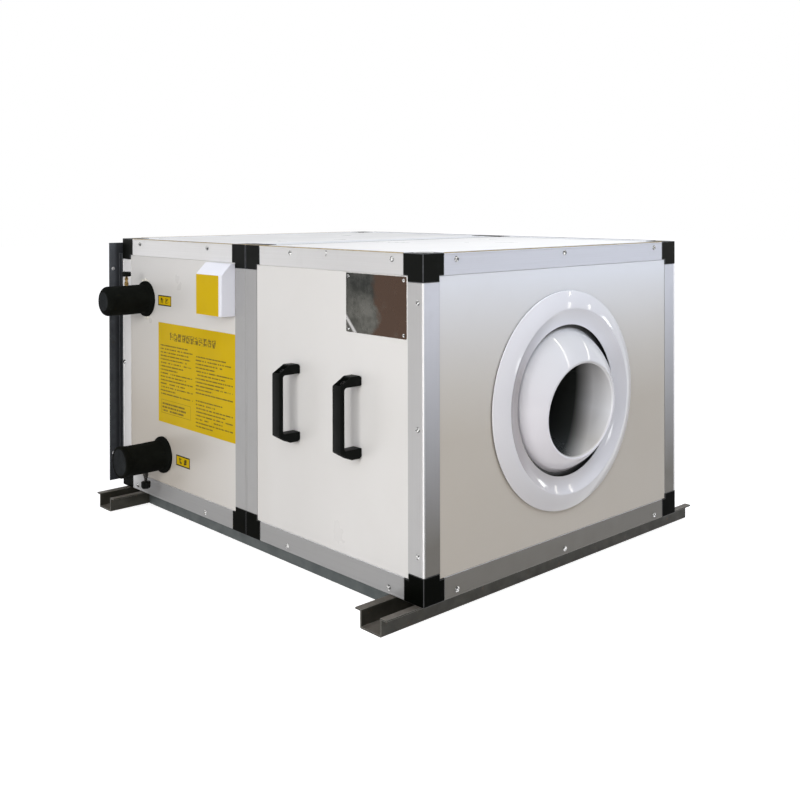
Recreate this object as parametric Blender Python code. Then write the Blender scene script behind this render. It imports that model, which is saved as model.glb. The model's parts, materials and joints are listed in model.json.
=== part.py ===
"""Air handling unit: a coil section and a fan section on a low steel base.

Units are metres. +X is the way the air is blown, -Y is the service side with the pipes
and handles, +Z is up. The origin lies on the floor, under the middle of the base rail at
the nozzle end.
"""
import math

import bmesh
import bpy
from mathutils import Matrix, Vector

# Casing
COIL_LENGTH = 0.490
FAN_LENGTH = 0.490
WIDTH = 0.700
HEIGHT = 0.550

# Aluminium frame bars and the nylon corner pieces that join them
PROFILE = 0.036
ARM = 0.010
BAR_WALL = 0.002
BEAD_RADIUS = 0.0025
FLAT_SET = 0.0006
JOINT_GROOVE = 0.008
SPIGOT_SHELL = 0.0032
SPIGOT_LENGTH = 0.010
PLUG_LENGTH = 0.004
PLUG_GRIP = 0.0005
CORNER_GROOVE = 0.0015

# Sandwich panels
PANEL_THICKNESS = 0.025
PANEL_SET = 0.0012
PANEL_EDGE = 0.0008

# Base: two upward open hat rails across, two side members between them
RAIL_HEIGHT = 0.030
RAIL_WIDTH = 0.050
RAIL_LIP = 0.012
RAIL_SHEET = 0.003
RAIL_BEND = 0.002
RAIL_OVERHANG = 0.070
NOZZLE_RAIL_INSET = 0.008
INLET_RAIL_INSET = 0.018
MEMBER_SET = 0.021
MEMBER_FLANGE = 0.020

# Ball jet nozzle: the ball sits behind the ring's mouth, tilted and turned from straight
NOZZLE_RAISE = 0.0015
BALL_RADIUS = 0.148
BALL_DEPTH = 0.077
BALL_SHEET = 0.003
BALL_REAR_ANGLE = 138.0
BALL_TILT = 6.5
BALL_SWIVEL = 30.0
BALL_CLEARANCE = 0.001
BORE_RADIUS = 0.0825
BORE_LIP = 0.004
THROAT_REAR_RADIUS = 0.070
THROAT_SETBACK = 0.012
MOUTH_GAP = 0.0106
RING_MOUTH_HEIGHT = 0.004
RING_DISH_WIDTH = 0.029
RING_DISH_POWER = 1.6
RING_CREST_HEIGHT = 0.015
RING_BAND_WIDTH = 0.026
RING_RIM = 0.005
RING_RIM_HEIGHT = 0.005
RING_SHEET = 0.003
SLEEVE_WALL = 0.0025
SLEEVE_MARGIN = 0.009
SLEEVE_REAR_ANGLE = 110.0
SLEEVE_LIP_ROUND = 0.001
SEAL_FRONT = 0.003
SEAL_THICKNESS = 0.012
SEAL_CLEARANCE = 0.0005

# Inlet flange and filter
FLANGE_INSET = 0.010
FLANGE_SET = 0.002
FLANGE_LEG = 0.027
FLANGE_COLLAR = 0.015
FLANGE_SHEET = 0.003
FILTER_THICKNESS = 0.022
FILTER_BORDER = 0.016
FILTER_SET = 0.003
PLEAT_PITCH = 0.021
PLEAT_DEPTH = 0.014
PLEAT_SHEET = 0.0016

# Pipe stubs in foam sleeves, with a vent valve above and a drain valve below
PIPE_RADIUS = 0.031
PIPE_LENGTH = 0.100
PIPE_END_ROUND = 0.011
PIPE_LIP = 0.0015
ROSETTE_RADIUS = 0.038
ROSETTE_THICKNESS = 0.006
SPIGOT_RADIUS = 0.014
UPPER_PIPE_BACK = 0.384
UPPER_PIPE_DROP = 0.128
LOWER_PIPE_BACK = 0.314
LOWER_PIPE_RISE = 0.097
VENT_REACH = 0.046
VENT_RADIUS = 0.0040
VENT_HEIGHT = 0.019
VENT_KNOB_RADIUS = 0.0095
VENT_KNOB_HEIGHT = 0.010
DRAIN_REACH = 0.040
DRAIN_RADIUS = 0.0058
DRAIN_HEIGHT = 0.018
DRAIN_KNOB_RADIUS = 0.0100
DRAIN_KNOB_HEIGHT = 0.014
VALVE_SINK = 0.006
VALVE_SHOULDER = 0.45
VALVE_NECK = 0.75
VENT_TIP_RADIUS = 0.0032
DRAIN_TIP_RADIUS = 0.0035
KNOB_LOBES = 8
LOBE_STEPS = 4
KNOB_FLUTE = 0.06
KNOB_EDGE = 0.18
STEM_RADIUS = 0.0022
STEM_CLEARANCE = 0.0002
STEM_GRIP = 0.006

# Terminal box and handles
BOX_WIDTH = 0.091
BOX_HEIGHT = 0.101
BOX_DEPTH = 0.031
BOX_SLOPE = 0.021
BOX_DROP = 0.038
BOX_EDGE = 0.0015
HANDLE_LENGTH = 0.137
HANDLE_WIDTH = 0.022
HANDLE_REACH = 0.045
HANDLE_GRIP = 0.009
HANDLE_FOOT = 0.017
HANDLE_SLOPE_REACH = 0.024
HANDLE_SLOPE_HEIGHT = 0.014
HANDLE_POCKET_RIM = 0.003
HANDLE_POCKET_DEPTH = 0.006
HANDLE_SPACING = 0.170
HANDLE_EDGE = 0.0012
HANDLE_FILLET = 0.003

# Space left between pieces that rest on or are cut by each other
GAP = 0.0003

# Fineness of the curved forms
BEND_STEPS = 2
ROUND_STEPS = 4
BEAD_STEPS = 6
SHELL_STEPS = 12
NOZZLE_SEGMENTS = 48
PIPE_SEGMENTS = 32
HOLE_SEGMENTS = 24
VALVE_SEGMENTS = 20
SMOOTH_ANGLE = 35.0

# Places worked out from the sizes above
NOZZLE_X = NOZZLE_RAIL_INSET + RAIL_LIP + RAIL_WIDTH / 2
JOINT_X = NOZZLE_X - FAN_LENGTH
INLET_X = JOINT_X - COIL_LENGTH
INLET_RAIL_X = INLET_X + INLET_RAIL_INSET + RAIL_LIP + RAIL_WIDTH / 2
SIDE_Y = WIDTH / 2
FLOOR_Z = RAIL_HEIGHT + GAP
TOP_Z = FLOOR_Z + HEIGHT
MIDDLE_Z = FLOOR_Z + HEIGHT / 2
PANEL_FACE_Y = -SIDE_Y + PANEL_SET
UPPER_PIPE = (JOINT_X - UPPER_PIPE_BACK, TOP_Z - UPPER_PIPE_DROP)
LOWER_PIPE = (JOINT_X - LOWER_PIPE_BACK, FLOOR_Z + LOWER_PIPE_RISE)
CORNER_LENGTH = PROFILE + ARM
FIN_DEPTH = PANEL_SET + PANEL_THICKNESS + GAP
FIN_BACK = FIN_DEPTH + BAR_WALL
SPIGOT_FAR = FIN_DEPTH - GAP
BALL_CENTRE = Vector((NOZZLE_X - BALL_DEPTH, 0, MIDDLE_Z + NOZZLE_RAISE))
SLEEVE_RADIUS = BALL_RADIUS + SLEEVE_MARGIN
RING_MOUTH_RADIUS = math.sqrt(BALL_RADIUS ** 2 - (BALL_DEPTH + RING_MOUTH_HEIGHT) ** 2) + MOUTH_GAP
RING_CREST_RADIUS = RING_MOUTH_RADIUS + RING_DISH_WIDTH
RING_RADIUS = RING_CREST_RADIUS + RING_BAND_WIDTH + RING_RIM


def material(name, colour, roughness, metallic=0.0):
    """Principled material with the piece's own colour."""
    made = bpy.data.materials.new(name)
    made.use_nodes = True
    shader = made.node_tree.nodes["Principled BSDF"]
    shader.inputs["Base Color"].default_value = (*colour, 1.0)
    shader.inputs["Roughness"].default_value = roughness
    shader.inputs["Metallic"].default_value = metallic
    return made


def add_object(name, bm, finish, smooth=False):
    """Turn a bmesh into a named object with one material."""
    bmesh.ops.recalc_face_normals(bm, faces=bm.faces)
    mesh = bpy.data.meshes.new(name)
    bm.to_mesh(mesh)
    bm.free()
    if smooth:
        mesh.shade_smooth()
        mesh.set_sharp_from_angle(angle=math.radians(SMOOTH_ANGLE))
    made = bpy.data.objects.new(name, mesh)
    bpy.context.scene.collection.objects.link(made)
    mesh.materials.clear()
    mesh.materials.append(finish)
    return made


def apply_modifiers(target):
    """Keep what the modifiers make, as the object's own mesh."""
    bpy.context.view_layer.update()
    seen = target.evaluated_get(bpy.context.evaluated_depsgraph_get())
    mesh = bpy.data.meshes.new_from_object(seen)
    target.modifiers.clear()
    target.data = mesh


def combine(target, others, operation):
    """Boolean each of the other objects into the target, then remove them."""
    for other in others:
        step = target.modifiers.new(operation.lower(), "BOOLEAN")
        step.operation = operation
        step.solver = "EXACT"
        step.object = other
        apply_modifiers(target)
        bpy.data.objects.remove(other, do_unlink=True)


def soften(target, width, segments=1, angle=30.0):
    """Bevel the sharp edges of an object."""
    edge = target.modifiers.new("edges", "BEVEL")
    edge.width = width
    edge.segments = segments
    edge.limit_method = "ANGLE"
    edge.angle_limit = math.radians(angle)


def arc(centre, radius, start, end, steps):
    """Points on an arc, angles in degrees."""
    angles = [math.radians(start + (end - start) * i / steps) for i in range(steps + 1)]
    return [(centre[0] + radius * math.cos(a), centre[1] + radius * math.sin(a)) for a in angles]


def prism(outline, start, end, place, holes=()):
    """Closed solid between two copies of an outline, with through holes.

    place(u, v, t) gives the point for outline position u, v at t along the length."""
    bm = bmesh.new()
    caps = {start: [], end: []}
    for loop in (outline, *holes):
        rings = {t: [bm.verts.new(place(u, v, t)) for u, v in loop] for t in (start, end)}
        near, far = rings[start], rings[end]
        for i in range(len(loop)):
            j = (i + 1) % len(loop)
            bm.faces.new((near[i], near[j], far[j], far[i]))
            for t, ring in rings.items():
                caps[t].append(bm.edges.get((ring[i], ring[j])))
    for edges in caps.values():
        bmesh.ops.triangle_fill(bm, use_beauty=True, edges=edges)
    return bm


def block(low, high):
    """Rectangular block between two corners."""
    bm = bmesh.new()
    bmesh.ops.create_cube(bm, size=1.0)
    size = [h - l for l, h in zip(low, high)]
    middle = [(h + l) / 2 for l, h in zip(low, high)]
    bmesh.ops.scale(bm, vec=size, verts=bm.verts)
    bmesh.ops.translate(bm, vec=middle, verts=bm.verts)
    return bm


def turned(profile, origin, axis, segments, closed=True):
    """Solid of revolution; profile holds (radius, distance along the axis).

    A closed profile makes a ring; an open one starts and ends on the axis."""
    bm = bmesh.new()
    turn = Vector((1, 0, 0)).rotation_difference(Vector(axis)).to_matrix()
    origin = Vector(origin)

    def point(radius, along, angle):
        local = Vector((along, radius * math.cos(angle), radius * math.sin(angle)))
        return bm.verts.new(origin + turn @ local)

    angles = [2 * math.pi * k / segments for k in range(segments)]
    body = profile if closed else profile[1:-1]
    rings = [[point(r, x, a) for a in angles] for r, x in body]
    pairs = list(zip(rings, rings[1:]))
    if closed:
        pairs.append((rings[-1], rings[0]))
    for first, second in pairs:
        for k in range(segments):
            n = (k + 1) % segments
            bm.faces.new((first[k], first[n], second[n], second[k]))
    if not closed:
        for (_, along), ring in ((profile[0], rings[0]), (profile[-1], rings[-1])):
            pole = point(0.0, along, 0.0)
            for k in range(segments):
                bm.faces.new((pole, ring[k], ring[(k + 1) % segments]))
    return bm


def cell_solid(grid, filled, place):
    """Closed solid of the filled cells of a grid of three lists of coordinates."""
    bm = bmesh.new()
    counts = [len(line) - 1 for line in grid]
    middle = [[(a + b) / 2 for a, b in zip(line, line[1:])] for line in grid]
    full = {(i, j, k) for i in range(counts[0]) for j in range(counts[1]) for k in range(counts[2])
            if filled(middle[0][i], middle[1][j], middle[2][k])}
    points = {}

    def vertex(index):
        if index not in points:
            points[index] = bm.verts.new(place(*(grid[axis][index[axis]] for axis in range(3))))
        return points[index]

    for cell in full:
        for axis in range(3):
            for side in (0, 1):
                beside = list(cell)
                beside[axis] += 1 if side else -1
                if tuple(beside) in full:
                    continue
                b, c = [a for a in range(3) if a != axis]
                corners = []
                for db, dc in ((0, 0), (1, 0), (1, 1), (0, 1)):
                    index = list(cell)
                    index[axis] += side
                    index[b] += db
                    index[c] += dc
                    corners.append(vertex(tuple(index)))
                bm.faces.new(corners)
    bmesh.ops.recalc_face_normals(bm, faces=bm.faces)
    bmesh.ops.dissolve_limit(bm, angle_limit=math.radians(1), verts=bm.verts, edges=bm.edges)
    return bm


# Frame bars

def bar_outline(set_off=0.0):
    """Section of a corner bar: u and v run inwards from the casing's outer edge."""
    flat = FLAT_SET
    tip = BEAD_RADIUS + math.sqrt(BEAD_RADIUS ** 2 - (BEAD_RADIUS - flat) ** 2)
    reach = math.degrees(math.asin((BEAD_RADIUS - flat) / BEAD_RADIUS))
    bead = arc((BEAD_RADIUS, BEAD_RADIUS), BEAD_RADIUS, 180 - reach, 270 + reach, BEAD_STEPS)
    bead[0] = (flat, tip)
    bead[-1] = (tip, flat)
    legs = [(PROFILE, flat), (PROFILE, FIN_DEPTH), (CORNER_LENGTH, FIN_DEPTH),
            (CORNER_LENGTH, FIN_BACK), (FIN_BACK, FIN_BACK), (FIN_BACK, CORNER_LENGTH),
            (FIN_DEPTH, CORNER_LENGTH), (FIN_DEPTH, PROFILE), (flat, PROFILE)]
    return [(u + set_off, v) for u, v in bead + legs]


def bar_hollow(set_off=0.0):
    """Hollow of a corner bar."""
    near = FLAT_SET + BAR_WALL
    far = PROFILE - BAR_WALL
    shape = [(near, near), (far, near), (far, FIN_DEPTH), (FIN_DEPTH, FIN_DEPTH),
             (FIN_DEPTH, far), (near, far)]
    return [(u + set_off, v) for u, v in shape]


def double_outline():
    """Section of the double bar where the two sections meet; u runs both ways from the joint."""
    half = bar_outline(GAP / 2)
    groove = FLAT_SET + GAP / 2
    right = [(groove, JOINT_GROOVE)] + half[:-1]
    left = [(-u, v) for u, v in reversed(right)]
    return right + left


def edge_place(axis, corner, inward):
    """Map section u, v and length t to the casing for a bar along one axis.

    corner gives the outer edge's place and inward the signs of u and v on the other axes."""
    others = [a for a in range(3) if a != axis]

    def place(u, v, t):
        spot = [0.0, 0.0, 0.0]
        spot[axis] = t
        spot[others[0]] = corner[0] + inward[0] * u
        spot[others[1]] = corner[1] + inward[1] * v
        return spot

    return place


ALUMINIUM = material("aluminium", (0.62, 0.63, 0.65), 0.38, 0.9)
NYLON = material("black_nylon", (0.012, 0.012, 0.013), 0.42)
PANEL_WHITE = material("panel_white", (0.72, 0.71, 0.69), 0.42)
BASE_STEEL = material("base_steel", (0.085, 0.083, 0.072), 0.6, 0.6)
MEMBER_STEEL = material("member_steel", (0.10, 0.115, 0.12), 0.6, 0.5)
FLANGE_STEEL = material("flange_steel", (0.055, 0.058, 0.062), 0.55, 0.5)
NOZZLE_WHITE = material("nozzle_white", (0.80, 0.80, 0.83), 0.18)
SEAL_RUBBER = material("seal_rubber", (0.015, 0.015, 0.016), 0.7)
FOAM = material("foam_sleeve", (0.014, 0.015, 0.014), 0.85)
BRASS = material("brass", (0.60, 0.43, 0.18), 0.35, 1.0)
KNOB_BLACK = material("knob_black", (0.018, 0.018, 0.018), 0.45)
VALVE_DARK = material("valve_dark", (0.05, 0.05, 0.05), 0.4, 0.7)
BOX_WHITE = material("box_white", (0.66, 0.68, 0.78), 0.4)
HANDLE_BLACK = material("handle_black", (0.014, 0.014, 0.014), 0.5)
FILTER_MEDIA = material("filter_media", (0.55, 0.58, 0.60), 0.9)


def corner_signs():
    """Inward signs of the four long edges, with the words that name them."""
    for side, side_word in ((-1, "service"), (1, "back")):
        for level, level_word in ((-1, "bottom"), (1, "top")):
            yield side, level, side_word + "_" + level_word


def edge_point(side, level):
    """Y and Z of a long outer edge of the casing."""
    return side * SIDE_Y, TOP_Z if level > 0 else FLOOR_Z


def ring_bars(x, double):
    """The two posts and two cross bars at one station, as helper objects."""
    bars = []
    outline = double_outline() if double else bar_outline()
    if double:
        holes = [bar_hollow(GAP / 2), [(-u, v) for u, v in bar_hollow(GAP / 2)]]
    else:
        holes = [bar_hollow()]
    sign = 1 if double or x < JOINT_X else -1
    length = CORNER_LENGTH + GAP
    for side in (-1, 1):
        place = edge_place(2, (x, side * SIDE_Y), (sign, -side))
        bm = prism(outline, FLOOR_Z + length, TOP_Z - length, place, holes)
        bars.append(add_object("post", bm, ALUMINIUM))
    for level in (-1, 1):
        _, z = edge_point(-1, level)
        place = edge_place(1, (x, z), (sign, -level))
        bm = prism(outline, -SIDE_Y + length, SIDE_Y - length, place, holes)
        bars.append(add_object("cross", bm, ALUMINIUM))
    return bars


def corner_core(x, sign, side, level, set_off):
    """Three spigots inside a corner piece; those of the ring end in plugs in its bars."""
    near, far = SPIGOT_SHELL + GAP, SPIGOT_FAR - GAP
    wide_near, wide_far = FLAT_SET + BAR_WALL / 2, FIN_DEPTH + PLUG_GRIP
    plug_start = CORNER_LENGTH + 2 * GAP
    plug_end = plug_start + PLUG_LENGTH
    end = CORNER_LENGTH + SPIGOT_LENGTH
    y, z = edge_point(side, level)
    line = [wide_near, near, far, wide_far, plug_start, plug_end]
    grid = [sorted(line + [end]), line, line]

    def filled(u, v, w):
        if near < v < far and near < w < far and near < u < end:
            return True
        if near < u < far and near < w < far and near < v < plug_end:
            return True
        if near < u < far and near < v < far and near < w < plug_end:
            return True
        if v > plug_start:
            return wide_near < u < wide_far and wide_near < w < wide_far
        if w > plug_start:
            return wide_near < u < wide_far and wide_near < v < wide_far
        return False

    def place(u, v, w):
        return x + sign * (u + set_off), y - side * v, z - level * w

    return add_object("core", cell_solid(grid, filled, place), ALUMINIUM)


def frame_ring(name, x, double=False):
    """Frame at one station: posts and cross bars joined by the spigots of the corners."""
    bars = ring_bars(x, double)
    cores = []
    signs = (1, -1) if double else ((1,) if x < JOINT_X else (-1,))
    for sign in signs:
        for side, level, _ in corner_signs():
            cores.append(corner_core(x, sign, side, level, GAP / 2 if double else 0.0))
    ring = bars[0]
    first = cores.pop(0)
    combine(ring, [first] + bars[1:] + cores, "UNION")
    ring.name = name
    return ring


def corner_piece(name, x, signs, side, level):
    """Nylon corner piece, single or double, hollow where the spigots run."""
    y, z = edge_point(side, level)
    near, far = SPIGOT_SHELL, SPIGOT_FAR
    line = [0.0, near, far, PROFILE, CORNER_LENGTH]
    if len(signs) == 2:
        groove = [-GAP * 2, GAP * 2]
        along = sorted(groove + [GAP / 2 + c for c in line] + [-GAP / 2 - c for c in line])
        across = sorted([0.0, CORNER_GROOVE] + line[1:])
        grid = [along, across, across]
    else:
        grid = [line, line, line]

    def filled(u, v, w):
        if len(signs) == 2 and abs(u) < GAP * 2 and (v < CORNER_GROOVE or w < CORNER_GROOVE):
            return False
        u = abs(u) - GAP / 2 if len(signs) == 2 else u
        u = max(u, GAP / 4)
        cube = max(u, v, w) < PROFILE
        arms = sorted((u, v, w))[1] < PROFILE
        core = (near < v < far and near < w < far and u > near) or \
               (near < u < far and near < w < far and v > near) or \
               (near < u < far and near < v < far and w > near)
        return (cube or arms) and not core

    def place(u, v, w):
        return x + signs[0] * u, y - side * v, z - level * w

    return add_object(name, cell_solid(grid, filled, place), NYLON)


def long_bar(name, start, end, side, level):
    """Aluminium bar along the casing between two corner pieces."""
    y, z = edge_point(side, level)
    place = edge_place(0, (y, z), (-side, -level))
    length = CORNER_LENGTH + GAP
    bm = prism(bar_outline(), start + length, end - length, place, [bar_hollow()])
    return add_object(name, bm, ALUMINIUM)


def casing_frame():
    """Three frame rings, eight long bars and twelve corner pieces."""
    frame_ring("inlet_end_frame", INLET_X)
    frame_ring("joint_frame", JOINT_X, double=True)
    frame_ring("nozzle_end_frame", NOZZLE_X)
    for side, level, word in corner_signs():
        long_bar("coil_bar_" + word, INLET_X, JOINT_X - GAP / 2, side, level)
        long_bar("fan_bar_" + word, JOINT_X + GAP / 2, NOZZLE_X, side, level)
        corner_piece("inlet_corner_" + word, INLET_X, (1,), side, level)
        corner_piece("joint_corner_" + word, JOINT_X, (1, -1), side, level)
        corner_piece("nozzle_corner_" + word, NOZZLE_X, (-1,), side, level)


# Panels

def panel(name, low, high):
    """Sandwich panel between two corners, with its edges broken."""
    made = add_object(name, block(low, high), PANEL_WHITE)
    soften(made, PANEL_EDGE)
    return made


def section_panels(word, start, end):
    """Side, back, top and bottom panels of one section."""
    near, far = start + PROFILE + GAP, end - PROFILE - GAP
    inner_y, inner_z = SIDE_Y - PROFILE - GAP, PROFILE + GAP
    low_z, high_z = FLOOR_Z + inner_z, TOP_Z - inner_z
    face, back = PANEL_SET, PANEL_SET + PANEL_THICKNESS
    made = {}
    side_name = "access_panel" if word == "fan" else "coil_side_panel"
    made["side"] = panel(side_name, (near, -SIDE_Y + face, low_z), (far, -SIDE_Y + back, high_z))
    made["back"] = panel(word + "_back_panel", (near, SIDE_Y - back, low_z),
                         (far, SIDE_Y - face, high_z))
    made["top"] = panel(word + "_top_panel", (near, -inner_y, TOP_Z - back),
                        (far, inner_y, TOP_Z - face))
    made["bottom"] = panel(word + "_bottom_panel", (near, -inner_y, FLOOR_Z + face),
                           (far, inner_y, FLOOR_Z + back))
    return made


def nozzle_panel():
    """End panel with the round hole that the nozzle's sleeve goes through."""
    inner_y, inner_z = SIDE_Y - PROFILE - GAP, PROFILE + GAP
    face, back = PANEL_SET, PANEL_SET + PANEL_THICKNESS
    made = add_object("nozzle_panel", block((NOZZLE_X - back, -inner_y, FLOOR_Z + inner_z),
                                            (NOZZLE_X - face, inner_y, TOP_Z - inner_z)),
                      PANEL_WHITE)
    soften(made, PANEL_EDGE)
    apply_modifiers(made)
    radius = SLEEVE_RADIUS + SLEEVE_WALL + GAP * 2
    cut = [(0.0, -2 * back), (radius, -2 * back), (radius, back), (0.0, back)]
    hole = add_object("hole", turned(cut, (NOZZLE_X, 0, BALL_CENTRE.z), (1, 0, 0), NOZZLE_SEGMENTS,
                                     closed=False), PANEL_WHITE)
    combine(made, [hole], "DIFFERENCE")
    return made


def casing_panels():
    """Nine panels; the coil side panel is drilled for the two pipes."""
    coil = section_panels("coil", INLET_X, JOINT_X - GAP / 2)
    section_panels("fan", JOINT_X + GAP / 2, NOZZLE_X)
    nozzle_panel()
    apply_modifiers(coil["side"])
    radius = SPIGOT_RADIUS + GAP
    for x, z in (UPPER_PIPE, LOWER_PIPE):
        cut = [(0.0, -PANEL_THICKNESS), (radius, -PANEL_THICKNESS),
               (radius, 2 * PANEL_THICKNESS), (0.0, 2 * PANEL_THICKNESS)]
        hole = add_object("hole", turned(cut, (x, PANEL_FACE_Y, z), (0, 1, 0), HOLE_SEGMENTS,
                                         closed=False), PANEL_WHITE)
        combine(coil["side"], [hole], "DIFFERENCE")


# Base

def rail(name, x):
    """Hat rail across the unit, open upwards, with its lips turned outwards."""
    half, tip = RAIL_WIDTH / 2, RAIL_WIDTH / 2 + RAIL_LIP
    sheet, top, bend = RAIL_SHEET, RAIL_HEIGHT, RAIL_BEND
    lower = arc((half - bend, bend), bend, -90, 0, BEND_STEPS)
    upper = arc((half - sheet + bend, top - bend), bend, 90, 180, BEND_STEPS)
    right = [*lower, (half, top - sheet), (tip, top - sheet), (tip, top), *upper,
             (half - sheet, sheet)]
    left = [(-u, v) for u, v in reversed(right)]
    end = SIDE_Y + RAIL_OVERHANG
    bm = prism(right + left, -end, end, lambda u, v, t: (x + u, t, v))
    return add_object(name, bm, BASE_STEEL)


def side_member(name, side):
    """Channel along the unit between the rails, notched under their lips."""
    web = side * (SIDE_Y - MEMBER_SET)
    sheet, top = RAIL_SHEET, RAIL_HEIGHT
    start = INLET_RAIL_X + RAIL_WIDTH / 2 + GAP
    end = -RAIL_WIDTH / 2 - GAP
    outline = [(0.0, 0.0), (MEMBER_FLANGE, 0.0), (MEMBER_FLANGE, sheet), (sheet, sheet),
               (sheet, top - sheet), (MEMBER_FLANGE, top - sheet), (MEMBER_FLANGE, top), (0.0, top)]
    bm = prism(outline, start, end, lambda u, v, t: (t, web - side * u, v))
    made = add_object(name, bm, MEMBER_STEEL)
    notch = RAIL_LIP + GAP
    cutters = []
    for near, far in ((start - notch, start + notch - GAP), (end - notch + GAP, end + notch)):
        low = (near, -WIDTH, top - sheet - GAP)
        cutters.append(add_object("notch", block(low, (far, WIDTH, 2 * top)), MEMBER_STEEL))
    combine(made, cutters, "DIFFERENCE")
    return made


def base():
    """Two rails and two side members."""
    rail("nozzle_end_rail", 0.0)
    rail("inlet_end_rail", INLET_RAIL_X)
    side_member("service_side_member", -1)
    side_member("back_side_member", 1)


# Ball jet nozzle

def ring_height(radius):
    """How far the ring's front stands off the panel at a radius: dish inside, band outside."""
    mouth, crest, top = RING_MOUTH_HEIGHT, RING_CREST_RADIUS, RING_CREST_HEIGHT
    if radius <= crest:
        share = (radius - RING_MOUTH_RADIUS) / RING_DISH_WIDTH
        return mouth + (top - mouth) * share ** RING_DISH_POWER
    low = RING_RIM / 2
    share = (crest + RING_BAND_WIDTH - radius) / RING_BAND_WIDTH
    return low + (top - low) * math.sin(share * math.pi / 2)


def spread(start, end, steps):
    """Evenly spaced numbers from start to end."""
    return [start + (end - start) * i / steps for i in range(steps + 1)]


def nozzle_ring():
    """Face ring: a round rim, a band rising to the crest, a dish to the mouth, and the sleeve."""
    seat = -PANEL_SET + GAP
    sheet, inner, outer = RING_SHEET, SLEEVE_RADIUS, SLEEVE_RADIUS + SLEEVE_WALL
    mouth, crest, rim = RING_MOUTH_RADIUS, RING_CREST_RADIUS, RING_CREST_RADIUS + RING_BAND_WIDTH
    lip = RING_RIM / 2
    edge = arc((RING_RADIUS - lip, RING_RIM_HEIGHT - lip), lip, 0, 150, ROUND_STEPS)
    band = [(r, ring_height(r)) for r in spread(rim, crest, BEAD_STEPS)]
    dish = [(r, ring_height(r)) for r in spread(crest, mouth, BEAD_STEPS)[1:]]
    rear = -BALL_DEPTH + BALL_RADIUS * math.cos(math.radians(SLEEVE_REAR_ANGLE))
    grip = math.sqrt((BALL_RADIUS + BALL_CLEARANCE) ** 2 - (rear + BALL_DEPTH) ** 2)
    sleeve = [(inner, rear), (grip, rear), (grip - SLEEVE_LIP_ROUND, rear - SLEEVE_WALL),
              (outer, rear - SLEEVE_WALL)]
    back = spread(mouth, crest, ROUND_STEPS) + spread(crest, rim - sheet, ROUND_STEPS)[1:]
    under = [(r, ring_height(r) - sheet) for r in back if r < inner - SLEEVE_WALL]
    beyond = [(r, max(ring_height(r) - sheet, seat)) for r in back if r > outer + SLEEVE_WALL]
    join = [(outer, ring_height(outer) - sheet)] + beyond + [(rim - sheet / 2, seat)]
    profile = [(RING_RADIUS, seat)] + edge + band + dish + under
    profile += [(inner, ring_height(inner) - sheet)] + sleeve + join
    origin = (NOZZLE_X, 0, BALL_CENTRE.z)
    return add_object("nozzle_ring", turned(profile, origin, (1, 0, 0), NOZZLE_SEGMENTS),
                      NOZZLE_WHITE, smooth=True)


def nozzle_seal():
    """Black seal between the sleeve and the front of the ball, with a ball shaped face."""
    front = BALL_DEPTH - SEAL_FRONT
    back = front - SEAL_THICKNESS
    radius = BALL_RADIUS + SEAL_CLEARANCE
    outer = SLEEVE_RADIUS - SEAL_CLEARANCE
    start = math.degrees(math.acos(front / radius))
    end = math.degrees(math.acos(back / radius))
    face = [(v, u) for u, v in arc((0, 0), radius, start, end, ROUND_STEPS)]
    profile = [(outer, front), *face, (outer, back)]
    bm = turned(profile, BALL_CENTRE, (1, 0, 0), NOZZLE_SEGMENTS)
    return add_object("nozzle_seal", bm, SEAL_RUBBER, smooth=True)


def nozzle_ball():
    """Hollow ball with a rolled lip round the bore and a throat that runs back from it."""
    sheet, lip = BALL_SHEET, BORE_LIP
    bore_angle = math.degrees(math.asin((BORE_RADIUS + lip) / BALL_RADIUS))
    shell = arc((0, 0), BALL_RADIUS, BALL_REAR_ANGLE, bore_angle, SHELL_STEPS)
    outer = [(v, u) for u, v in shell]
    front = BALL_RADIUS * math.cos(math.radians(bore_angle))
    rolled = arc((BORE_RADIUS + lip, front - lip), lip, 80, 180, ROUND_STEPS)
    throat_end = THROAT_SETBACK - front
    throat = []
    for share in spread(0.0, 1.0, ROUND_STEPS)[1:]:
        narrow = BORE_RADIUS - (BORE_RADIUS - THROAT_REAR_RADIUS) * math.sin(share * math.pi / 2)
        throat.append((narrow, (front - lip) + (throat_end - front + lip) * share))
    inside = [(r + sheet, x) for r, x in reversed(throat)]
    inside.append((BORE_RADIUS + sheet, front - 2 * lip))
    cap = math.degrees(math.asin((BORE_RADIUS + lip + sheet) / (BALL_RADIUS - sheet)))
    lining = arc((0, 0), BALL_RADIUS - sheet, cap, BALL_REAR_ANGLE, SHELL_STEPS)
    inner = [(v, u) for u, v in lining]
    profile = outer + rolled[1:] + throat + inside + inner
    bm = turned(profile, (0, 0, 0), (1, 0, 0), NOZZLE_SEGMENTS)
    tilt = Matrix.Rotation(math.radians(BALL_TILT), 4, "Y")
    swivel = Matrix.Rotation(math.radians(-BALL_SWIVEL), 4, "X")
    bmesh.ops.transform(bm, matrix=swivel @ tilt @ swivel.inverted(), verts=bm.verts)
    made = add_object("nozzle_ball", bm, NOZZLE_WHITE, smooth=True)
    made.location = BALL_CENTRE
    return made


# Inlet

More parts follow.
